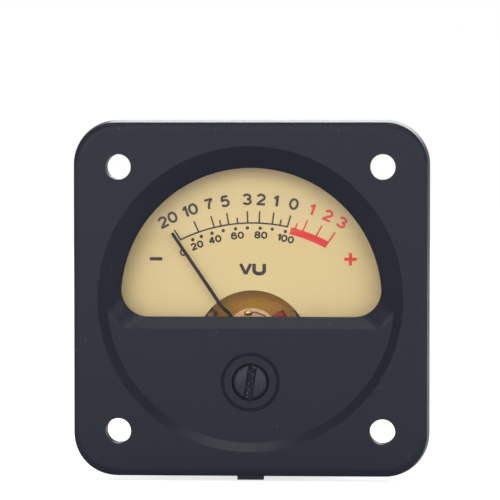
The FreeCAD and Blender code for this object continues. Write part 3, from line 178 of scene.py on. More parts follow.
class NodeSheet:
    """Writes the shader nodes of one material, with every pattern on Object coordinates."""

    def __init__(self, name: str) -> None:
        """Start a material that holds one Principled shader.

        Args:
            name: The material's name.
        """
        self.material = bpy.data.materials.new(name)
        self.material.use_nodes = True
        self.nodes = self.material.node_tree.nodes
        self.links = self.material.node_tree.links
        self.shader = self.nodes["Principled BSDF"]
        self.place = self.nodes.new("ShaderNodeTexCoord").outputs["Object"]

    def set(self, **amounts: float | Colour) -> None:
        """Put plain values on the shader's own sockets.

        Args:
            amounts: The values by the sockets' names, with _ for spaces.
        """
        for name, amount in amounts.items():
            socket = self.shader.inputs[name.replace("_", " ")]
            socket.default_value = (*amount, 1.0) if isinstance(amount, tuple) else amount

    def drive(self, name: str, source: Socket) -> None:
        """Lead a socket into one of the shader's inputs."""
        self.links.new(source, self.shader.inputs[name])

    def fed(self, kind: str, socket: str, source: Socket) -> bpy.types.Node:
        """Add a node and feed one of its inputs.

        Args:
            kind: The node's kind, without the words that all kinds start with.
            socket: The input's name.
            source: What feeds it.

        Returns:
            The new node.
        """
        node = self.nodes.new(f"ShaderNode{kind}")
        self.links.new(source, node.inputs[socket])
        return node

    def stretched(self, along: Vector) -> Socket:
        """Scale the place, so that a pattern runs in lines.

        Args:
            along: How much each axis is scaled.

        Returns:
            The scaled place.
        """
        node = self.fed("Mapping", "Vector", self.place)
        node.inputs["Scale"].default_value = along
        return node.outputs["Vector"]

    def noise(self, size: float, detail: float = 2.0, rough: float = 0.5,
              place: Socket | None = None) -> Socket:
        """Add cloudy noise.

        Args:
            size: The size of one cloud, in millimetres.
            detail, rough: How many finer layers it has, and how strong they are.
            place: Where to read it, or the object's own place.

        Returns:
            The strength from 0 to 1.
        """
        node = self.fed("TexNoise", "Vector", place or self.place)
        node.inputs["Scale"].default_value = 1.0 / (size * MM)
        node.inputs["Detail"].default_value = detail
        node.inputs["Roughness"].default_value = rough
        return node.outputs["Fac"]

    def specks(self, spacing: float, radius: float, share: float) -> Socket:
        """Scatter small round specks.

        Args:
            spacing, radius: How far apart specks may be and how large, in millimetres.
            share: The share of places that hold one.

        Returns:
            1 on a speck and 0 elsewhere.
        """
        node = self.fed("TexVoronoi", "Vector", self.place)
        node.inputs["Scale"].default_value = 1.0 / (spacing * MM)
        near = self.sum("LESS_THAN", node.outputs["Distance"], radius / spacing)
        split = self.fed("SeparateColor", "Color", node.outputs["Color"])
        kept = self.sum("LESS_THAN", split.outputs["Red"], share)
        return self.sum("MULTIPLY", near, kept)

    def sum(self, kind: str, first: Socket | float, second: Socket | float) -> Socket:
        """Work out one step of arithmetic.

        Args:
            kind: The name of the Math node's operation.
            first, second: The numbers or sockets.

        Returns:
            The result.
        """
        node = self.nodes.new("ShaderNodeMath")
        node.operation = kind
        for socket, amount in zip(node.inputs, (first, second)):
            if isinstance(amount, Socket):
                self.links.new(amount, socket)
            else:
                socket.default_value = amount
        return node.outputs["Value"]

    def ramp(self, source: Socket, low: float, high: float) -> Socket:
        """Stretch a strength so that low becomes 0 and high becomes 1.

        Args:
            source: The strength to stretch.
            low, high: What becomes 0 and what becomes 1.

        Returns:
            The stretched strength, held between 0 and 1.
        """
        node = self.fed("MapRange", "Value", source)
        node.inputs["From Min"].default_value = low
        node.inputs["From Max"].default_value = high
        return node.outputs["Result"]

    def mix(self, share: Socket, first: Colour | Socket, second: Colour | Socket) -> Socket:
        """Mix two colours.

        Args:
            share: How much of the second colour there is.
            first, second: The colours at 0 and at 1.

        Returns:
            The mixed colour.
        """
        node = self.nodes.new("ShaderNodeMix")
        node.data_type = "RGBA"
        self.links.new(share, node.inputs[0])
        for socket, colour in ((node.inputs[6], first), (node.inputs[7], second)):
            if isinstance(colour, Socket):
                self.links.new(colour, socket)
            else:
                socket.default_value = (*colour, 1.0)
        return node.outputs[2]

    def vary(self, source: Socket, colour: Colour, low: float, high: float) -> Socket:
        """Shade a colour by a strength, from a low share of it at 0 to a high one at 1."""
        return self.mix(source, shade(colour, low), shade(colour, high))

    def roughen(self, source: Socket, spread: float, least: float) -> None:
        """Drive the roughness by a strength, from the least up to that and the spread."""
        self.drive("Roughness", self.sum("ADD", self.sum("MULTIPLY", source, spread), least))

    def distance(self, centre: Vector) -> Socket:
        """Measure how far a place is from a line along Y.

        Args:
            centre: A point on the line, in millimetres.

        Returns:
            The distance in millimetres.
        """
        flat = self.fed("Mapping", "Vector", self.place)
        flat.inputs["Scale"].default_value = Vector((1, 0, 1)) / MM
        flat.inputs["Location"].default_value = Vector((-centre.x, 0, -centre.z))
        length = self.fed("VectorMath", "Vector", flat.outputs["Vector"])
        length.operation = "LENGTH"
        return length.outputs["Value"]

    def bump(self, height: Socket, depth: float) -> None:
        """Raise the surface by a strength.

        Args:
            height: The strength from 0 to 1.
            depth: How deep the full strength is, in millimetres.
        """
        node = self.fed("Bump", "Height", height)
        node.inputs["Distance"].default_value = depth * MM
        self.links.new(node.outputs["Normal"], self.shader.inputs["Normal"])


@dataclass(frozen=True)
class Finish:
    """One finish of the meter. Sizes and depths of patterns are in millimetres."""
    name: str
    colour: Colour

    def write(self, sheet: NodeSheet) -> None:
        """Write the finish's own nodes."""
        raise NotImplementedError

    def build(self) -> bpy.types.Material:
        """Write the nodes and return the material."""
        sheet = NodeSheet(self.name)
        self.write(sheet)
        return sheet.material


@dataclass(frozen=True)
class Moulded(Finish):
    """Moulded plastic: faint flow clouds, a fine skin, dust and hairline rubs."""
    roughness: float = 0.42
    skin: float = 0.16
    depth: float = 0.004
    cloud: float = 0.10
    dust: float = 0.0
    gloss: float = 0.27
    cloud_size: float = 5.0
    speck_spacing: float = 1.1
    speck_radius: float = 0.06
    speck_colour: Colour = paint(104, 106, 114)
    rub_size: float = 0.25
    rub_stretch: Vector = Vector((0.09, 1.0, 1.0)).freeze()
    rub_range: Point = (0.78, 0.84)
    rub_shade: float = 1.5
    wear_size: float = 1.4
    wear: float = 0.10

    def write(self, sheet: NodeSheet) -> None:
        """Write the finish's own nodes."""
        clouds = sheet.noise(self.cloud_size, 3.0)
        body = sheet.vary(clouds, self.colour, 1 - self.cloud, 1 + self.cloud)
        if self.dust:
            specks = sheet.specks(self.speck_spacing, self.speck_radius, self.dust)
            body = sheet.mix(specks, body, self.speck_colour)
            rubs = sheet.noise(self.rub_size, 1.0, place=sheet.stretched(self.rub_stretch))
            body = sheet.mix(sheet.ramp(rubs, *self.rub_range), body,
                             shade(self.colour, self.rub_shade))
        sheet.drive("Base Color", body)
        sheet.roughen(sheet.noise(self.wear_size, 4.0, 0.65), self.wear,
                      self.roughness - self.wear / 2)
        sheet.set(IOR=1.5, Specular_IOR_Level=self.gloss)
        sheet.bump(sheet.noise(self.skin, 3.0, 0.6), self.depth)


@dataclass(frozen=True)
class ClearSheet(Finish):
    """Clear acrylic that lets the lamps through."""
    haze_size: float = 2.5
    haze: float = 0.02

    def write(self, sheet: NodeSheet) -> None:
        """Write the finish's own nodes."""
        sheet.set(Base_Color=self.colour, Transmission_Weight=1.0, IOR=1.3)
        sheet.roughen(sheet.noise(self.haze_size, 2.0), self.haze, 0.0)
        through = sheet.nodes.new("ShaderNodeBsdfTransparent")
        choose_by_ray(sheet.material.node_tree, "Is Shadow Ray", sheet.shader.outputs["BSDF"],
                      through.outputs["BSDF"], sheet.nodes["Material Output"].inputs["Surface"])


@dataclass(frozen=True)
class DialPaint(Finish):
    """Warm cream paint on the dial: a fine roll of the brush, and a darker rim that is painted shade where
    the bezel shades the dial.
    """
    # The edge colour is painted shade at the dial's rim, where the bezel shades the dial; it fades in
    # between the two radii of the range below.
    edge: Colour
    middle_z: float = -1.5
    painted_shade_range: Point = (15.5, 20.0)
    cloud_size: float = 4.5
    grain_size: float = 0.09
    grain_range: Point = (0.62, 0.9)
    grain_shade: float = 0.9
    depth: float = 0.002

    def write(self, sheet: NodeSheet) -> None:
        """Write the finish's own nodes."""
        away = sheet.distance(Vector((0.0, 0.0, self.middle_z)))
        clouds = sheet.noise(self.cloud_size, 3.0)
        grain = sheet.noise(self.grain_size, 2.0)
        body = sheet.mix(sheet.ramp(grain, *self.grain_range),
                         sheet.vary(clouds, self.colour, 0.975, 1.02),
                         shade(self.colour, self.grain_shade))
        # Painted shade: the paint darkens towards the edge colour near the rim.
        sheet.drive("Base Color", sheet.mix(sheet.ramp(away, *self.painted_shade_range), body, self.edge))
        sheet.roughen(clouds, 0.08, 0.55)
        sheet.set(IOR=1.45, Specular_IOR_Level=0.3)
        sheet.bump(grain, self.depth)


@dataclass(frozen=True)
class PrintInk(Finish):
    """Thin printed ink with small changes of cover."""
    cover_size: float = 0.12

    def write(self, sheet: NodeSheet) -> None:
        """Write the finish's own nodes."""
        cover = sheet.noise(self.cover_size, 2.0)
        sheet.drive("Base Color", sheet.vary(cover, self.colour, 0.9, 1.15))
        sheet.roughen(cover, 0.1, 0.5)
        sheet.set(Specular_IOR_Level=0.3)


@dataclass(frozen=True)
class Metal(Finish):
    """Bare or plated metal with tooling lines, tarnish and a worn sheen.

    The lines run along the Y axis, and a width of 0 leaves them out.
    """
    roughness: float = 0.3
    metallic: float = 1.0
    tarnish: Colour | None = None
    tarnish_share: float = 0.35
    lines: float = 0.05
    depth: float = 0.003
    stretch: Vector = Vector((1.0, 0.08, 1.0)).freeze()
    spot_size: float = 0.9
    spot_range: Point = (0.42, 0.72)
    dark: float = 0.55

    def write(self, sheet: NodeSheet) -> None:
        """Write the finish's own nodes."""
        spots = sheet.ramp(sheet.noise(self.spot_size, 4.0, 0.6), *self.spot_range)
        stain = sheet.sum("MULTIPLY", spots, self.tarnish_share)
        sheet.drive("Base Color", sheet.mix(stain, self.colour,
                                            self.tarnish or shade(self.colour, self.dark)))
        sheet.roughen(spots, 0.14, self.roughness - 0.04)
        sheet.set(Metallic=self.metallic)
        if self.lines:
            place = sheet.stretched(self.stretch)
            sheet.bump(sheet.noise(self.lines, 2.0, place=place), self.depth)


@dataclass(frozen=True)
class Laminate(Finish):
    """Glass-fibre board under green lacquer, with the weave showing through."""
    weave: float = 900.0
    depth: float = 0.01

    def write(self, sheet: NodeSheet) -> None:
        """Write the finish's own nodes."""
        threads = []
        for direction in ("X", "Z"):
            thread = sheet.fed("TexWave", "Vector", sheet.place)
            thread.bands_direction = direction
            thread.inputs["Scale"].default_value = self.weave
            threads.append(thread.outputs["Fac"])
        cloth = sheet.sum("MULTIPLY", *threads)
        sheet.drive("Base Color", sheet.vary(cloth, self.colour, 0.85, 1.2))
        sheet.roughen(cloth, 0.12, 0.28)
        sheet.set(Coat_Weight=0.25)
        sheet.bump(cloth, self.depth)


@dataclass(frozen=True)
class Glaze(Finish):
    """Hard glaze or coloured glass: a deep even colour under a smooth skin."""
    roughness: float = 0.18
    clear: float = 0.0
    cloud_size: float = 0.7
    skin: float = 0.3
    depth: float = 0.004

    def write(self, sheet: NodeSheet) -> None:
        """Write the finish's own nodes."""
        cloud = sheet.noise(self.cloud_size, 3.0)
        sheet.drive("Base Color", sheet.vary(cloud, self.colour, 0.88, 1.12))
        sheet.roughen(cloud, 0.08, self.roughness)
        sheet.set(Coat_Weight=0.4, Transmission_Weight=self.clear)
        sheet.bump(sheet.noise(self.skin, 2.0), self.depth)


@dataclass(frozen=True)
class RoughCut(Finish):
    """Torn moulding skin at the foot of a slot: coarse grain with pale grit.

    Each layer of grit has a spacing, a radius, a share and a colour.
    """
    grain: float = 0.22
    depth: float = 0.08
    layers: tuple[tuple[float, float, float, Colour], ...] = (
        (0.17, 0.06, 0.6, paint(74, 78, 88)), (0.26, 0.06, 0.35, paint(150, 152, 158)))

    def write(self, sheet: NodeSheet) -> None:
        """Write the finish's own nodes."""
        grain = sheet.noise(self.grain, 4.0, 0.7)
        body = sheet.vary(grain, self.colour, 0.55, 1.3)
        for spacing, radius, share, colour in self.layers:
            body = sheet.mix(sheet.specks(spacing, radius, share), body, colour)
        sheet.drive("Base Color", body)
        sheet.roughen(grain, 0.25, 0.45)
        sheet.set(IOR=1.45, Specular_IOR_Level=0.12)
        sheet.bump(grain, self.depth)


FINISHES = {
    finish.name: finish.build() for finish in (
        Moulded("housing_plastic", paint(27, 31, 44), 0.38, dust=0.16),
        # The groove round the zero screw: the cover's plastic painted darker, as painted shade in the
        # recess.
        Moulded("groove_painted_shade", paint(21, 25, 40), 0.5, gloss=0.25),
        Moulded("case_plastic", paint(27, 29, 35), 0.46, 0.22, 0.006),
        Moulded("frame_plastic", paint(26, 26, 28), 0.5, 0.3, 0.008),
        Moulded("screw_plastic", paint(44, 48, 60), 0.32, dust=0.18),
        RoughCut("slot_floor", paint(42, 46, 56)),
        ClearSheet("clear_pane", (0.985, 0.99, 0.99)),
        # The second colour is painted shade at the dial's rim.
        DialPaint("dial_paint", paint(224, 199, 143), paint(206, 176, 116)),
        PrintInk(Ink.BLACK.value, paint(44, 36, 33)),
        PrintInk(Ink.RED.value, paint(228, 46, 46)),
        Moulded("pointer_paint", paint(16, 14, 14), 0.6, 0.08, 0.003),
        Moulded("fibre_card", paint(208, 150, 44), 0.75, 0.35, 0.006, 0.06),
        Metal("yoke_iron", paint(150, 116, 66), 0.46, 0.55, paint(96, 66, 34), 0.6),
        Metal("magnet", paint(92, 90, 88), 0.5, 0.7, lines=0.2, depth=0.01),
        Metal("brass", paint(206, 168, 96), 0.28, tarnish=paint(132, 92, 44)),
        Metal("lever_brass", paint(214, 168, 120), 0.4, 0.6, tarnish=paint(150, 104, 66)),
        Metal("bright_steel", paint(196, 198, 202), 0.24, tarnish=paint(120, 120, 124)),
        Metal("tinned_metal", paint(206, 206, 204), 0.34, tarnish=paint(150, 148, 142)),
        Metal("weight_metal", paint(150, 148, 140), 0.3),
        Metal("dark_metal", paint(120, 86, 46), 0.55, 0.2),
        Metal("copper", paint(214, 84, 44), 0.34, 0.25, paint(160, 50, 26), 0.5),
        Metal("aluminium", paint(236, 176, 84), 0.42, 0.3),
        Metal("spring_bronze", paint(190, 140, 80), 0.24, tarnish=paint(120, 84, 50)),
        Glaze("jewel_glass", paint(164, 40, 62), 0.08, 0.35),
        Laminate("board_laminate", paint(40, 96, 62)),
        Glaze("diode_glass", paint(196, 96, 48), 0.08, 0.2),
        Glaze("resistor_body", paint(198, 172, 128), 0.3),
        Metal("solder", paint(196, 198, 200), 0.2, lines=0.0))
}


class Form:
    """A mesh under construction, in millimetres of the shared frame."""

    def __init__(self) -> None:
        """Start empty."""
        self.mesh = bmesh.new()

    @classmethod
    def of_node(cls, name: str) -> "Form":
        """Take a merged copy of a CAD node.

        Args:
            name: The node to copy.

        Returns:
            The new form.
        """
        form = cls()
        form.mesh.from_mesh(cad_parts[name].data)
        bmesh.ops.scale(form.mesh, vec=Vector((1, 1, 1)) / MM, verts=form.mesh.verts)
        bmesh.ops.remove_doubles(form.mesh, verts=form.mesh.verts, dist=MERGE)
        bmesh.ops.dissolve_limit(form.mesh, angle_limit=math.radians(0.4),
                                 verts=form.mesh.verts, edges=form.mesh.edges)
        return form

    def fresh(self, known: set[bmesh.types.BMFace]) -> list[bmesh.types.BMFace]:
        """Return the faces that are not in known."""
        return [face for face in self.mesh.faces if face not in known]

    def block(self, low: Vector, high: Vector, angle: float = 0.0) -> None:
        """Add a box between two corners, turned about its centre clockwise on the dial."""
        place = upright_at((low + high) / 2, angle) @ Matrix.Diagonal((*(high - low), 1.0))
        bmesh.ops.create_cube(self.mesh, size=1.0, matrix=place)

    def dot(self, radius: float, front: float, rear: float, spot: Vector, segments: int) -> None:
        """Add a round plate that faces the front, over a spot."""
        place = (Matrix.Translation((spot.x, (front + rear) / 2, spot.z))
                 @ Matrix.Rotation(math.radians(-90), 4, "X"))
        bmesh.ops.create_cone(self.mesh, cap_ends=True, segments=segments, radius1=radius,
                              radius2=radius, depth=rear - front, matrix=place)

    def turned(self, line: list[Point], x: float, z: float, steps: int) -> None:
        """Spin a line of (radius, y) points round an axis along Y.

        Args:
            line: The points, from one end to the other.
            x, z: Where the axis is.
            steps: How many steps the full turn has.
        """
        known = set(self.mesh.faces)
        verts = [self.mesh.verts.new((x + radius, y, z)) for radius, y in line]
        edges = [self.mesh.edges.new(pair) for pair in zip(verts, verts[1:])]
        bmesh.ops.spin(self.mesh, geom=verts + edges, cent=(x, 0, z), axis=(0, 1, 0),
                       angle=math.tau, steps=steps, use_merge=True)
        near = list({vert for face in self.fresh(known) for vert in face.verts})
        bmesh.ops.remove_doubles(self.mesh, verts=near, dist=MERGE / 4)
        bmesh.ops.recalc_face_normals(self.mesh, faces=self.fresh(known))

    def strip(self, inner: float, outer: float, start: float, end: float, centre: Vector,
              front: float, rear: float) -> None:
        """Add a curved strip about a centre on the dial.

        Args:
            inner, outer: Its radii.
            start, end: Where it starts and ends, in degrees clockwise from straight up.
            centre: The centre of its curve.
            front, rear: Where its faces are.
        """
        known = set(self.mesh.faces)
        ends = [self.mesh.verts.new(on_dial(start, radius, centre)) for radius in (inner, outer)]
        for vert in ends:
            vert.co.y = front
        edge = self.mesh.edges.new(ends)
        steps = max(2, round(abs(end - start) / STEP_ANGLE))
        bmesh.ops.spin(self.mesh, geom=ends + [edge], cent=centre, axis=(0, 1, 0),
                       angle=math.radians(end - start), steps=steps)
        pushed = bmesh.ops.extrude_face_region(self.mesh, geom=self.fresh(known),
                                               use_keep_orig=True)["geom"]
        verts = [item for item in pushed if isinstance(item, bmesh.types.BMVert)]
        bmesh.ops.translate(self.mesh, verts=verts, vec=(0, rear - front, 0))
        bmesh.ops.recalc_face_normals(self.mesh, faces=self.fresh(known))

    def tube(self, runs: list[list[Point3]], radius: float, place: Matrix,
             index: int = 0, closed: bool = False, around: int = 1) -> None:
        """Add round bars along runs of points.

        Args:
            runs: The points of each bar, in its own frame.
            radius: The radius of the bars.
            place: Where that frame is.
            index: Which of the piece's materials they have.
            closed: Whether each run comes back to its start.
            around: How finely a bar is rounded.
        """
        curve = bpy.data.curves.new("runs", "CURVE")
        curve.dimensions = "3D"
        curve.bevel_depth = radius
        curve.bevel_resolution = around
        curve.use_fill_caps = True
        for run in runs:
            spline = curve.splines.new("POLY")
            spline.points.add(len(run) - 1)
            for point, spot in zip(spline.points, run):
                point.co = (*spot, 1.0)
            spline.use_cyclic_u = closed
        item = bpy.data.objects.new("runs", curve)
        bpy.context.scene.collection.objects.link(item)
        graph = bpy.context.evaluated_depsgraph_get()
        solid = bpy.data.meshes.new_from_object(item.evaluated_get(graph))
        known, old = set(self.mesh.faces), set(self.mesh.verts)
        self.mesh.from_mesh(solid)
        verts = [vert for vert in self.mesh.verts if vert not in old]
        bmesh.ops.transform(self.mesh, matrix=place, verts=verts)
        bmesh.ops.remove_doubles(self.mesh, verts=verts, dist=MERGE / 4)
        faces = self.fresh(known)
        for face in faces:
            face.material_index = index
        bmesh.ops.recalc_face_normals(self.mesh, faces=faces)
        bpy.data.objects.remove(item)
        bpy.data.curves.remove(curve)
        bpy.data.meshes.remove(solid)

    def lettering(self, words: str, kind: Lettering, place: Matrix, ink: float) -> None:
        """Add printed characters, centred on a place.

        Args:
            words: The characters, all of which CHARACTERS holds.
            kind: Their size.
            place: Where the middle of the word is, with X across and Z up.
            ink: How thick the ink is.
        """
        widths = [WIDTHS.get(letter, DIGIT_WIDTH) for letter in words]
        start = -(sum(widths) + LETTER_GAP * (len(words) - 1)) / 2
        inner = kind.height - kind.stroke
        flat = place @ Matrix.Diagonal((1.0, ink / kind.stroke, 1.0, 1.0))
        for letter, width in zip(words, widths):
            runs = [[((start + x * width) * kind.height, 0.0, (z - 0.5) * inner) for x, z in run]
                    for run in CHARACTERS[letter]]
            self.tube(runs, kind.stroke / 2, flat)
            start += width + LETTER_GAP

    def edges_over(self, angle: float) -> list[bmesh.types.BMEdge]:
        """Find the closed edges that fold by more than an angle.

        Args:
            angle: The least fold, in degrees.

        Returns:
            The edges.
        """
        limit = math.radians(angle)
        return [edge for edge in self.mesh.edges
                if len(edge.link_faces) == 2 and edge.calc_face_angle(0.0) > limit]

    def bevel(self, width: float, angle: float = 30.0, segments: int = 2) -> None:
        """Round every edge that folds by more than an angle in degrees, to a width."""
        bmesh.ops.bevel(self.mesh, geom=self.edges_over(angle), offset=width, offset_type="OFFSET",
                        affect="EDGES", segments=segments, profile=0.5, material=-1,
                        clamp_overlap=True)

    def piece(self, name: str, body: str, slot: str, finishes: list[bpy.types.Material],
              stands_for: tuple[str, ...] = (), smooth: float = 32.0) -> Piece:
        """Turn the form into a piece of the meter.

        Args:
            name: The piece's name.
            body: The CAD body that it rides on.
            slot: The record's slot of its finish, which is not used.
            finishes: Its materials, in the order of their numbers.
            stands_for: The CAD nodes that it replaces.
            smooth: The largest fold that is shaded as one surface, in degrees.

        Returns:
            The new object.
        """
        for face in self.mesh.faces:
            face.smooth = True
        for edge in self.edges_over(smooth):
            edge.smooth = False
        bmesh.ops.scale(self.mesh, vec=Vector((MM, MM, MM)), verts=self.mesh.verts)
        mesh = bpy.data.meshes.new(name)
        self.mesh.to_mesh(mesh)
        self.mesh.free()
        for finish in finishes:
            mesh.materials.append(finish)
        item = bpy.data.objects.new(name, mesh)
        bpy.context.scene.collection.objects.link(item)
        if body:
            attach(item, body)
        if stands_for:
            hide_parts(*stands_for)
        return item


def even_normals(item: Piece) -> None:
    """Keep flat faces flat in the shading of a piece."""
    item.modifiers.new("even_normals", "WEIGHTED_NORMAL").keep_sharp = True


def eased(node: str, name: str, body: str, slot: str, width: float,
          angle: float = 30.0, segments: int = 2) -> Piece:
    """Make a CAD node again, with its edges rounded.

    Args:
        node: The node that the piece stands for.
        name: The piece's name.
        body: The CAD body that it rides on.
        slot: The slot of its finish, and the finish's name.
        width: The width of the round in millimetres, or 0 for none.
        angle: The least fold that is rounded, in degrees.
        segments: How many faces the round has.

    Returns:
        The new piece.
    """
    form = Form.of_node(node)
    if width:
        form.bevel(width, angle, segments)
    return form.piece(name, body, slot, [FINISHES[slot]], (node,))


def on_dial(angle: float, radius: float, centre: Vector) -> Vector:
    """Find the point at an angle, clockwise from straight up, and a radius about a centre."""
    lean = math.radians(angle)
    return centre + Vector((math.sin(lean) * radius, 0, math.cos(lean) * radius))


def upright_at(spot: Vector, angle: float) -> Matrix:
    """Stand a character on a point of the dial, leaning by an angle in degrees."""
    return Matrix.Translation(spot) @ Matrix.Rotation(math.radians(angle), 4, "Y")


@dataclass
class Housing:
    """The front cover, with its ring round the zero screw, and the rear case, in millimetres."""
    edge: float = 0.12
    ring_inner: float = 3.25
    ring_outer: float = 3.75

    def cover(self) -> Piece:
        """Make the front cover, with its small edges rounded and its groove round the zero screw darkened as
        painted shade.

        Returns:
            The new piece.
        """
        form = Form.of_node("front_cover")
        # Faces of the groove round the zero screw take the second, darker finish: painted shade in the
        # recess.
        for face in form.mesh.faces:
            reach = [math.hypot(vert.co.x, vert.co.z - ZERO_Z) for vert in face.verts]
            if self.ring_inner < min(reach) and max(reach) < self.ring_outer:
                face.material_index = 1
        form.bevel(self.edge)
        item = form.piece("front_cover_moulding", "housing", "housing_plastic",
                          [FINISHES["housing_plastic"], FINISHES["groove_painted_shade"]],
                          ("front_cover",))
        even_normals(item)
        return item

    def case(self) -> Piece:
        """Make the rear case."""
        item = eased("rear_case", "rear_case_moulding", "housing", "case_plastic", self.edge)
        even_normals(item)
        return item

    def build(self) -> list[Piece]:
        """Make every piece and return them."""
        return [self.cover(), self.case()]


@dataclass
class Dial:
    """The painted dial plate and its print, in millimetres and degrees."""
    arc_centre: Vector = Vector((0.0, 0.0, -11.05)).freeze()
    arc: float = 20.5
    band: float = 19.65
    line: float = 0.2
    long_mark: float = 22.0
    short_mark: float = 21.25
    ink: float = 0.02
    dot_radius: float = 0.22
    dot_circle: float = 19.87
    black_reach: Point = (-33.1, 15.95)
    red_reach: Point = (17.35, 35.0)
    red_over: float = 0.05
    numeral: Lettering = Lettering(1.55, 0.35, 23.5)
    percent: Lettering = Lettering(0.99, 0.26, 19.0)
    low_zero: Lettering = Lettering(0.95, 0.26, 15.3)
    low_zero_bearing: float = -35.3
    low_zero_lean: float = -20.0
    unit: Lettering = Lettering(1.58, 0.46)
    unit_z: float = 3.57
    dots: tuple[float, ...] = (-28.25, -24.1, -19.0, -13.65, -7.85, -2.35, 3.65, 9.25, 15.4)
    percents: tuple[tuple[str, float], ...] = (
        ("20", -27.75), ("40", -18.6), ("60", -7.4), ("80", 4.15), ("100", 16.35))
    # The bars of the signs: ink, left, right, low, high, and how far it stands before the others
    signs: tuple[tuple[Ink, float, float, float, float, float], ...] = (
        (Ink.BLACK, -13.05, -11.47, 4.66, 5.08, 0.0), (Ink.RED, 11.65, 13.23, 4.67, 5.07, 0.0),
        (Ink.RED, 12.24, 12.64, 4.08, 5.66, 0.001))

    def spot(self, bearing: float, radius: float) -> Vector:
        """Find where a line from the pivot crosses a circle about the arc's centre.

        Args:
            bearing: The line's angle, in degrees clockwise from straight up.
            radius: The circle's radius.

        Returns:
            The point, in the middle of the ink.
        """
        lean = math.radians(bearing)
        line = Vector((math.sin(lean), 0, math.cos(lean)))
        pivot = Vector((0, 0, PIVOT_Z)) - self.arc_centre
        along = pivot.dot(line)
        reach = math.sqrt(along * along - pivot.length_squared + radius * radius) - along
        return Vector((0, DIAL_FRONT - self.ink / 2, PIVOT_Z)) + line * reach

    def swing(self, bearing: float, radius: float) -> float:
        """Turn a bearing from the pivot into an angle about the arc's centre, in degrees."""
        spot = self.spot(bearing, radius)
        return math.degrees(math.atan2(spot.x, spot.z - self.arc_centre.z))

    def mark(self, form: Form, bearing: float, outer: float) -> None:
        """Print one scale mark, from the arc outwards and in line with the pivot.

        Args:
            form: The form of its ink.
            bearing: Its angle from the pivot, in degrees clockwise from straight up.
            outer: The radius where it ends.
        """
        inner, tip = self.spot(bearing, self.arc - self.line / 2), self.spot(bearing, outer)
        half = Vector((self.line / 2, self.ink / 2, (tip - inner).length / 2))
        middle = (inner + tip) / 2
        form.block(middle - half, middle + half, bearing)

    def write(self, form: Form, words: str, bearing: float, kind: Lettering) -> None:
        """Print characters upright on their circle, in line with the pivot."""
        place = upright_at(self.spot(bearing, kind.radius), self.swing(bearing, kind.radius))
        form.lettering(words, kind, place, self.ink)

    def arc_strip(self, form: Form, inner: float, outer: float, reach: Point) -> None:
        """Print a strip about the arc's centre between two bearings."""
        form.strip(inner, outer, self.swing(reach[0], self.arc), self.swing(reach[1], self.arc),
                   self.arc_centre, DIAL_FRONT - self.ink, DIAL_FRONT)

    def printing(self) -> list[Piece]:
        """Print the scales, the numerals and the signs.

        Returns:
            A piece for each ink.
        """
        forms = {ink: Form() for ink in Ink}
        front, middle = DIAL_FRONT - self.ink, DIAL_FRONT - self.ink / 2
        black, red = forms[Ink.BLACK], forms[Ink.RED]
        self.arc_strip(black, self.arc - self.line / 2, self.arc + self.line / 2, self.black_reach)
        self.arc_strip(red, self.band, self.arc + self.red_over, self.red_reach)
        for ink, form in forms.items():
            for bearing in LONG_MARKS[ink]:
                self.mark(form, bearing, self.long_mark)
            for bearing in SHORT_MARKS[ink]:
                self.mark(form, bearing, self.short_mark)
            for words, bearing in NUMERALS[ink]:
                self.write(form, words, bearing, self.numeral)
        for words, bearing in self.percents:
            self.write(black, words, bearing, self.percent)
        low = on_dial(self.low_zero_bearing, self.low_zero.radius, Vector((0, middle, PIVOT_Z)))
        black.lettering("0", self.low_zero, upright_at(low, self.low_zero_lean), self.ink)
        for bearing in self.dots:
            black.dot(self.dot_radius, front, DIAL_FRONT, self.spot(bearing, self.dot_circle), 24)
        for ink, left, right, bottom, top, lift in self.signs:
            forms[ink].block(Vector((left, front - lift, bottom)), Vector((right, DIAL_FRONT, top)))
        black.lettering("VU", self.unit, Matrix.Translation((0, middle, self.unit_z)), self.ink)
        return [forms[ink].piece(ink.value.replace("_ink", "_print"), "housing", "dial_paint",
                                 [FINISHES[ink.value]]) for ink in Ink]

    def plate(self) -> Piece:
        """Make the plate."""
        item = eased("dial_plate", "dial_face", "housing", "dial_paint", 0.0)
        even_normals(item)
        return item

    def build(self) -> list[Piece]:
        """Make every piece and return them."""
        return [self.plate(), *self.printing()]


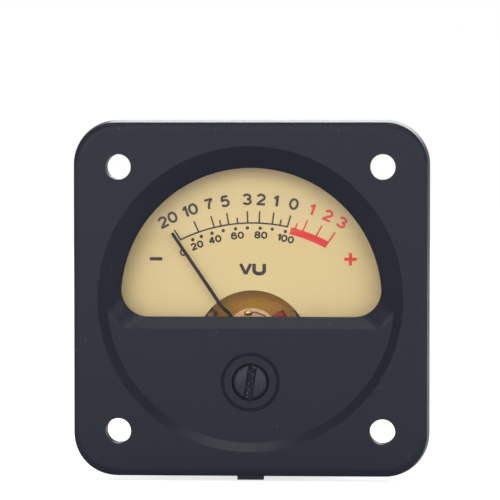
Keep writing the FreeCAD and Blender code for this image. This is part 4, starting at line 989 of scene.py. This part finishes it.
@dataclass
class Pointer:
    """The needle with its root, coil and springs, in millimetres."""
    coil_reach: float = 5.8
    coil_front: float = 5.2
    coil_rear: float = 16.5
    coil_half_width: float = 2.15
    turns: int = 22
    wire: float = 0.095
    sunk: float = 0.03
    corner: float = 0.3
    bar: float = 0.1
    bar_over: float = 0.02
    spring_inner: float = 0.84
    spring_outer: float = 4.2

    def winding(self) -> Piece:
        """Lay the turns of enamelled wire over the coil.

        Returns:
            The new piece.
        """
        form = Form()
        reach, corner = self.coil_reach - self.sunk, self.corner
        middle = (self.coil_front + self.coil_rear) / 2
        half = (self.coil_rear - self.coil_front) / 2 - self.sunk
        loop = []
        for turn, (x, y) in enumerate(((1, 1), (-1, 1), (-1, -1), (1, -1))):
            loop += bow(x * (reach - corner), middle + y * (half - corner), corner, corner,
                        90 * turn, 90 * turn + 90, 4)
        pitch = (2 * self.coil_half_width - 2 * self.wire) / (self.turns - 1)
        runs = [[(x, y, pitch * (turn - (self.turns - 1) / 2)) for x, y in loop]
                for turn in range(self.turns)]
        place = upright_at(Vector((0, 0, PIVOT_Z)), REST_ANGLE)
        form.tube(runs, self.wire, place, closed=True)
        edge = self.coil_half_width + self.bar_over
        ends = (0.3 - self.coil_reach, self.coil_reach - 0.25)
        form.tube([[(x, self.coil_front, side.value * edge) for x in ends] for side in Side],
                  self.bar, place, 1)
        return form.piece("winding_turns", "pointer", "copper",
                          [FINISHES["copper"], FINISHES["brass"]])

    def spring(self, node: str) -> Piece:
        """Make a hairspring that winds up between the pointer and the lever.

        Args:
            node: The node that it stands for.

        Returns:
            The new piece.
        """
        item = Form.of_node(node).piece(f"{node}_strip", "", "spring_bronze",
                                        [FINISHES["spring_bronze"]], (node,))
        axis = Vector((0, 0, PIVOT_Z * MM))
        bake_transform(item, "pointer", "zero_lever", axis + Vector((0, 0, self.spring_inner * MM)),
                 axis + Vector((0, 0, self.spring_outer * MM)))
        reach = (self.spring_outer - self.spring_inner) * MM
        for vert, weight in zip(item.data.vertices, item.data.attributes["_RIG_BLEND"].data):
            radius = math.hypot(vert.co.x, vert.co.z - axis.z)
            weight.value = min(1.0, max(0.0, (radius - self.spring_inner * MM) / reach))
        return item

    def build(self) -> list[Piece]:
        """Make every piece and return them."""
        return [eased("pointer", "needle", "pointer", "pointer_paint", 0.04),
                eased("balance_weights", "balance_beads", "pointer", "weight_metal", 0.06),
                self.winding(), self.spring("front_hairspring"), self.spring("rear_hairspring")]


@dataclass
class Movement:
    """What the cut-out of the dial shows of the movement, in millimetres."""
    card_inner: float = 6.32
    card_outer: float = 9.4
    card_reach: float = 80.0
    card_front: float = 6.14
    card_rear: float = 6.36
    disc_bore: float = 1.0
    disc_radius: float = 6.62
    disc_front: float = 6.02
    disc_rear: float = 6.11

    def card(self) -> Piece:
        """Make the brown fibre card in front of the yoke, round the coil's sweep.

        Returns:
            The new piece.
        """
        form = Form()
        form.strip(self.card_inner, self.card_outer, -self.card_reach, self.card_reach,
                   Vector((0, 0, PIVOT_Z)), self.card_front, self.card_rear)
        return form.piece("fibre_card", "housing", "yoke_iron", [FINISHES["fibre_card"]])

    def disc(self) -> Piece:
        """Make the fibre disc inside the front of the coil, which turns with it.

        Returns:
            The new piece.
        """
        form = Form()
        form.turned([(self.disc_bore, self.disc_rear), (self.disc_bore, self.disc_front),
                     (self.disc_radius, self.disc_front), (self.disc_radius, self.disc_rear),
                     (self.disc_bore, self.disc_rear)], 0.0, PIVOT_Z, 72)
        return form.piece("coil_disc", "pointer", "yoke_iron", [FINISHES["fibre_card"]])

    def lever(self) -> Piece:
        """Make the zero lever, with its edges rounded."""
        item = eased("zero_lever", "lever_plate", "zero_lever", "lever_brass", 0.05)
        even_normals(item)
        return item

    def joints(self) -> Piece:
        """Make the solder bead and the bent wire end on the lever.

        Returns:
            The new piece.
        """
        form = Form()
        bmesh.ops.create_uvsphere(form.mesh, u_segments=20, v_segments=12, radius=0.5,
                                  matrix=Matrix.Translation((-0.5, 2.42, -1.98))
                                  @ Matrix.Diagonal((1.15, 0.5, 0.8, 1.0)))
        wire = [(-0.35, 2.28, -1.95), (0.3, 2.22, -1.82), (0.9, 2.26, -2.0), (1.7, 2.3, -2.35)]
        form.tube([wire], 0.11, Matrix(), 1, around=2)
        return form.piece("lever_solder", "zero_lever", "brass",
                          [FINISHES["brass"], FINISHES["solder"]])

    def stop(self) -> Piece:
        """Make the bent end of the left stop wire.

        Returns:
            The new piece.
        """
        form = Form()
        spot = Vector((0, 5.6, PIVOT_Z))
        form.tube([[tuple(on_dial(-46.5, 7.9, spot)), tuple(on_dial(-46.0, 6.45, spot))]],
                  0.2, Matrix(), around=2)
        return form.piece("stop_wire", "housing", "dark_metal", [FINISHES["dark_metal"]])

    def build(self) -> list[Piece]:
        """Make every piece and return them."""
        return [self.card(), self.disc(), self.lever(), self.joints(), self.stop()]


@dataclass
class ZeroScrew:
    """The slotted zero screw in the front cover, with its slot's floor between two depths."""
    floor_depths: Point = (0.45, 1.2)

    def build(self) -> list[Piece]:
        """Make the screw, with rough skin on the floor of its slot.

        Returns:
            A list of the one piece.
        """
        form = Form.of_node("zero_screw")
        front = min(vert.co.y for vert in form.mesh.verts)
        for face in form.mesh.faces:
            face.normal_update()
            depth = face.calc_center_median().y - front
            if face.normal.y < -0.9 and self.floor_depths[0] < depth < self.floor_depths[1]:
                face.material_index = 1
        form.bevel(0.05)
        item = form.piece("zero_screw_head", "zero_screw", "screw_plastic",
                          [FINISHES["screw_plastic"], FINISHES["slot_floor"]],
                          ("zero_screw",))
        even_normals(item)
        return [item]


@dataclass
class Terminals:
    """The threaded studs, washers, lugs, nuts and screws on the back, in millimetres."""
    root: float = 1.24
    crest: float = 1.5
    pitch: float = 0.5
    neck: float = 1.2
    neck_end: float = 27.45
    stud_end: float = 32.85
    head: tuple[Point, ...] = ((0.0, 19.25), (2.45, 19.25), (2.6, 19.4), (2.6, 20.1), (2.5, 20.25))
    tooth: tuple[float, float, float, float] = (0.0, 0.19, 0.25, 0.44)
    sunk: float = 0.05
    steps: int = 24

    def stud(self, side: Side) -> Piece:
        """Make one stud with its thread.

        Args:
            side: Which side of the meter it is on.

        Returns:
            The new piece.
        """
        form = Form()
        x = side.value * STUD_X
        form.turned([*self.head, (self.neck, self.head[-1][1]), (self.neck, self.neck_end),
                     (self.root, self.neck_end + 0.04), (self.root, self.stud_end - 0.3),
                     (1.0, self.stud_end - 0.04), (0.9, self.stud_end), (0.0, self.stud_end)],
                    x, STUD_Z, 40)
        known = set(form.mesh.faces)
        start, foot = self.neck_end + 0.1, self.root - self.sunk
        corners = [form.mesh.verts.new((x + radius, start + along, STUD_Z))
                   for radius, along in zip((foot, self.crest, self.crest, foot), self.tooth)]
        edges = [form.mesh.edges.new(pair) for pair in zip(corners, corners[1:] + corners[:1])]
        count = int((self.stud_end - 0.65 - start) / self.pitch)
        ring = bmesh.ops.spin(form.mesh, geom=corners + edges, cent=(x, 0, STUD_Z), axis=(0, 1, 0),
                              dvec=(0, self.pitch / self.steps, 0), angle=math.tau * count,
                              steps=self.steps * count)["geom_last"]
        form.mesh.faces.new(corners)
        form.mesh.faces.new([item for item in ring if isinstance(item, bmesh.types.BMVert)])
        bmesh.ops.recalc_face_normals(form.mesh, faces=form.fresh(known))
        return form.piece(f"stud_{side.name.lower()}", "housing", "brass", [FINISHES["brass"]])

    def fittings(self) -> list[Piece]:
        """Make the nuts, washers, solder lugs and case screws, with their edges eased.

        Returns:
            The new pieces.
        """
        return [eased(node, name, "housing", slot, width, 40.0, segments)
                for node, name, slot, width, segments in (
                    ("terminal_nuts", "stud_nuts", "bright_steel", 0.16, 3),
                    ("terminal_washers", "stud_washers", "bright_steel", 0.06, 2),
                    ("solder_lugs", "lugs", "tinned_metal", 0.06, 2),
                    ("case_screws", "case_screw_heads", "bright_steel", 0.06, 2))]

    def build(self) -> list[Piece]:
        """Make every piece and return them."""
        studs = [self.stud(side) for side in Side]
        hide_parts("terminal_studs")
        return [*studs, *self.fittings()]


@dataclass(frozen=True)
class Lamp:
    """A soft square lamp that looks at the meter, in metres and watts."""
    name: str
    place: Point3
    size: float
    power: float
    colour: Colour = (1.0, 1.0, 1.0)

    def build(self) -> None:
        """Hang the lamp."""
        light = bpy.data.lights.new(self.name, "AREA")
        light.shape = "SQUARE"
        light.size = self.size
        light.energy = self.power
        light.color = self.colour
        item = bpy.data.objects.new(self.name, light)
        item.location = self.place
        item.rotation_euler = (-Vector(self.place)).to_track_quat("-Z", "Y").to_euler()
        bpy.context.scene.collection.objects.link(item)


@dataclass
class Studio:
    """Plain floor, white surround, soft lamps and the camera, in metres."""
    eye: Vector = Vector((0.025, -0.423, 0.021)).freeze()
    aim: Vector = Vector((0.0, -0.003, 0.0062)).freeze()
    lens: float = 242.0
    floor_z: float = -0.0229
    floor_glow: float = 0.72
    surround: float = 0.38
    lamps: tuple[Lamp, ...] = (
        Lamp("lamp_left", (-0.34, -0.62, 0.17), 0.45, 1.0, (1.0, 0.98, 0.95)),
        Lamp("lamp_right", (0.40, -0.58, 0.15), 0.40, 0.9, (0.96, 0.98, 1.0)),
        Lamp("lamp_top", (0.03, -0.24, 0.62), 0.4, 1.3),
        Lamp("lamp_front", (0.0, -1.0, 0.19), 0.7, 1.9),
        Lamp("lamp_behind", (0.1, 0.6, 0.4), 0.5, 3.0))

    def world(self) -> None:
        """Light evenly from all round, and show white behind."""
        world = bpy.data.worlds.new("surround")
        world.use_nodes = True
        bpy.context.scene.world = world
        nodes = world.node_tree.nodes
        even, white = nodes["Background"], nodes.new("ShaderNodeBackground")
        for light, strength in ((even, self.surround), (white, 1.0)):
            light.inputs["Color"].default_value = (1, 1, 1, 1)
            light.inputs["Strength"].default_value = strength
        choose_by_ray(world.node_tree, "Is Camera Ray", even.outputs["Background"],
                      white.outputs["Background"], nodes["World Output"].inputs["Surface"])

    def floor(self) -> None:
        """Lay a pale floor that shows white and keeps the meter's shadow."""
        mesh = bpy.data.meshes.new("floor")
        form = bmesh.new()
        bmesh.ops.create_grid(form, x_segments=1, y_segments=1, size=1.5,
                              matrix=Matrix.Translation((0, 0, self.floor_z)))
        form.to_mesh(mesh)
        form.free()
        item = bpy.data.objects.new("floor", mesh)
        bpy.context.scene.collection.objects.link(item)
        sheet = NodeSheet("pale_floor")
        sheet.set(Base_Color=(0.8, 0.8, 0.8), Roughness=0.8)
        seen = sheet.nodes.new("ShaderNodeLightPath").outputs["Is Camera Ray"]
        glow = sheet.fed("Emission", "Strength", sheet.sum("MULTIPLY", seen, self.floor_glow))
        both = sheet.nodes.new("ShaderNodeAddShader")
        sheet.links.new(sheet.shader.outputs["BSDF"], both.inputs[0])
        sheet.links.new(glow.outputs["Emission"], both.inputs[1])
        sheet.links.new(both.outputs["Shader"], sheet.nodes["Material Output"].inputs["Surface"])
        mesh.materials.append(sheet.material)

    def camera(self) -> None:
        """Stand the camera where the photograph was taken."""
        lens = bpy.data.cameras.new("photo_camera")
        lens.lens = self.lens
        lens.sensor_width = 36.0
        lens.clip_start = 0.01
        item = bpy.data.objects.new("photo_camera", lens)
        item.location = self.eye
        item.rotation_euler = (self.aim - self.eye).to_track_quat("-Z", "Y").to_euler()
        bpy.context.scene.collection.objects.link(item)
        bpy.context.scene.camera = item

    def build(self) -> None:
        """Set up the whole studio."""
        bpy.context.scene.view_settings.view_transform = "Standard"
        self.world()
        self.floor()
        self.camera()
        for lamp in self.lamps:
            lamp.build()


def dress_nodes() -> int:
    """Give every CAD node the finish of its slot.

    Returns:
        How many nodes there are.
    """
    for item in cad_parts.values():
        for slot in item.material_slots:
            slot.material = FINISHES[slot.material.name.split(".")[0]]
    return len(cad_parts)


def main() -> None:
    """Dress the nodes, and build every sub-assembly and the studio."""
    logging.basicConfig(level=logging.INFO, format="%(message)s")
    log.info("dressed %d nodes", dress_nodes())
    assemblies = Housing(), Dial(), Pointer(), Movement(), ZeroScrew(), Terminals()
    for assembly in assemblies:
        for item in assembly.build():
            log.info("made %s with %d faces", item.name, len(item.data.polygons))
    Studio().build()


if __name__ == "__main__":
    main()
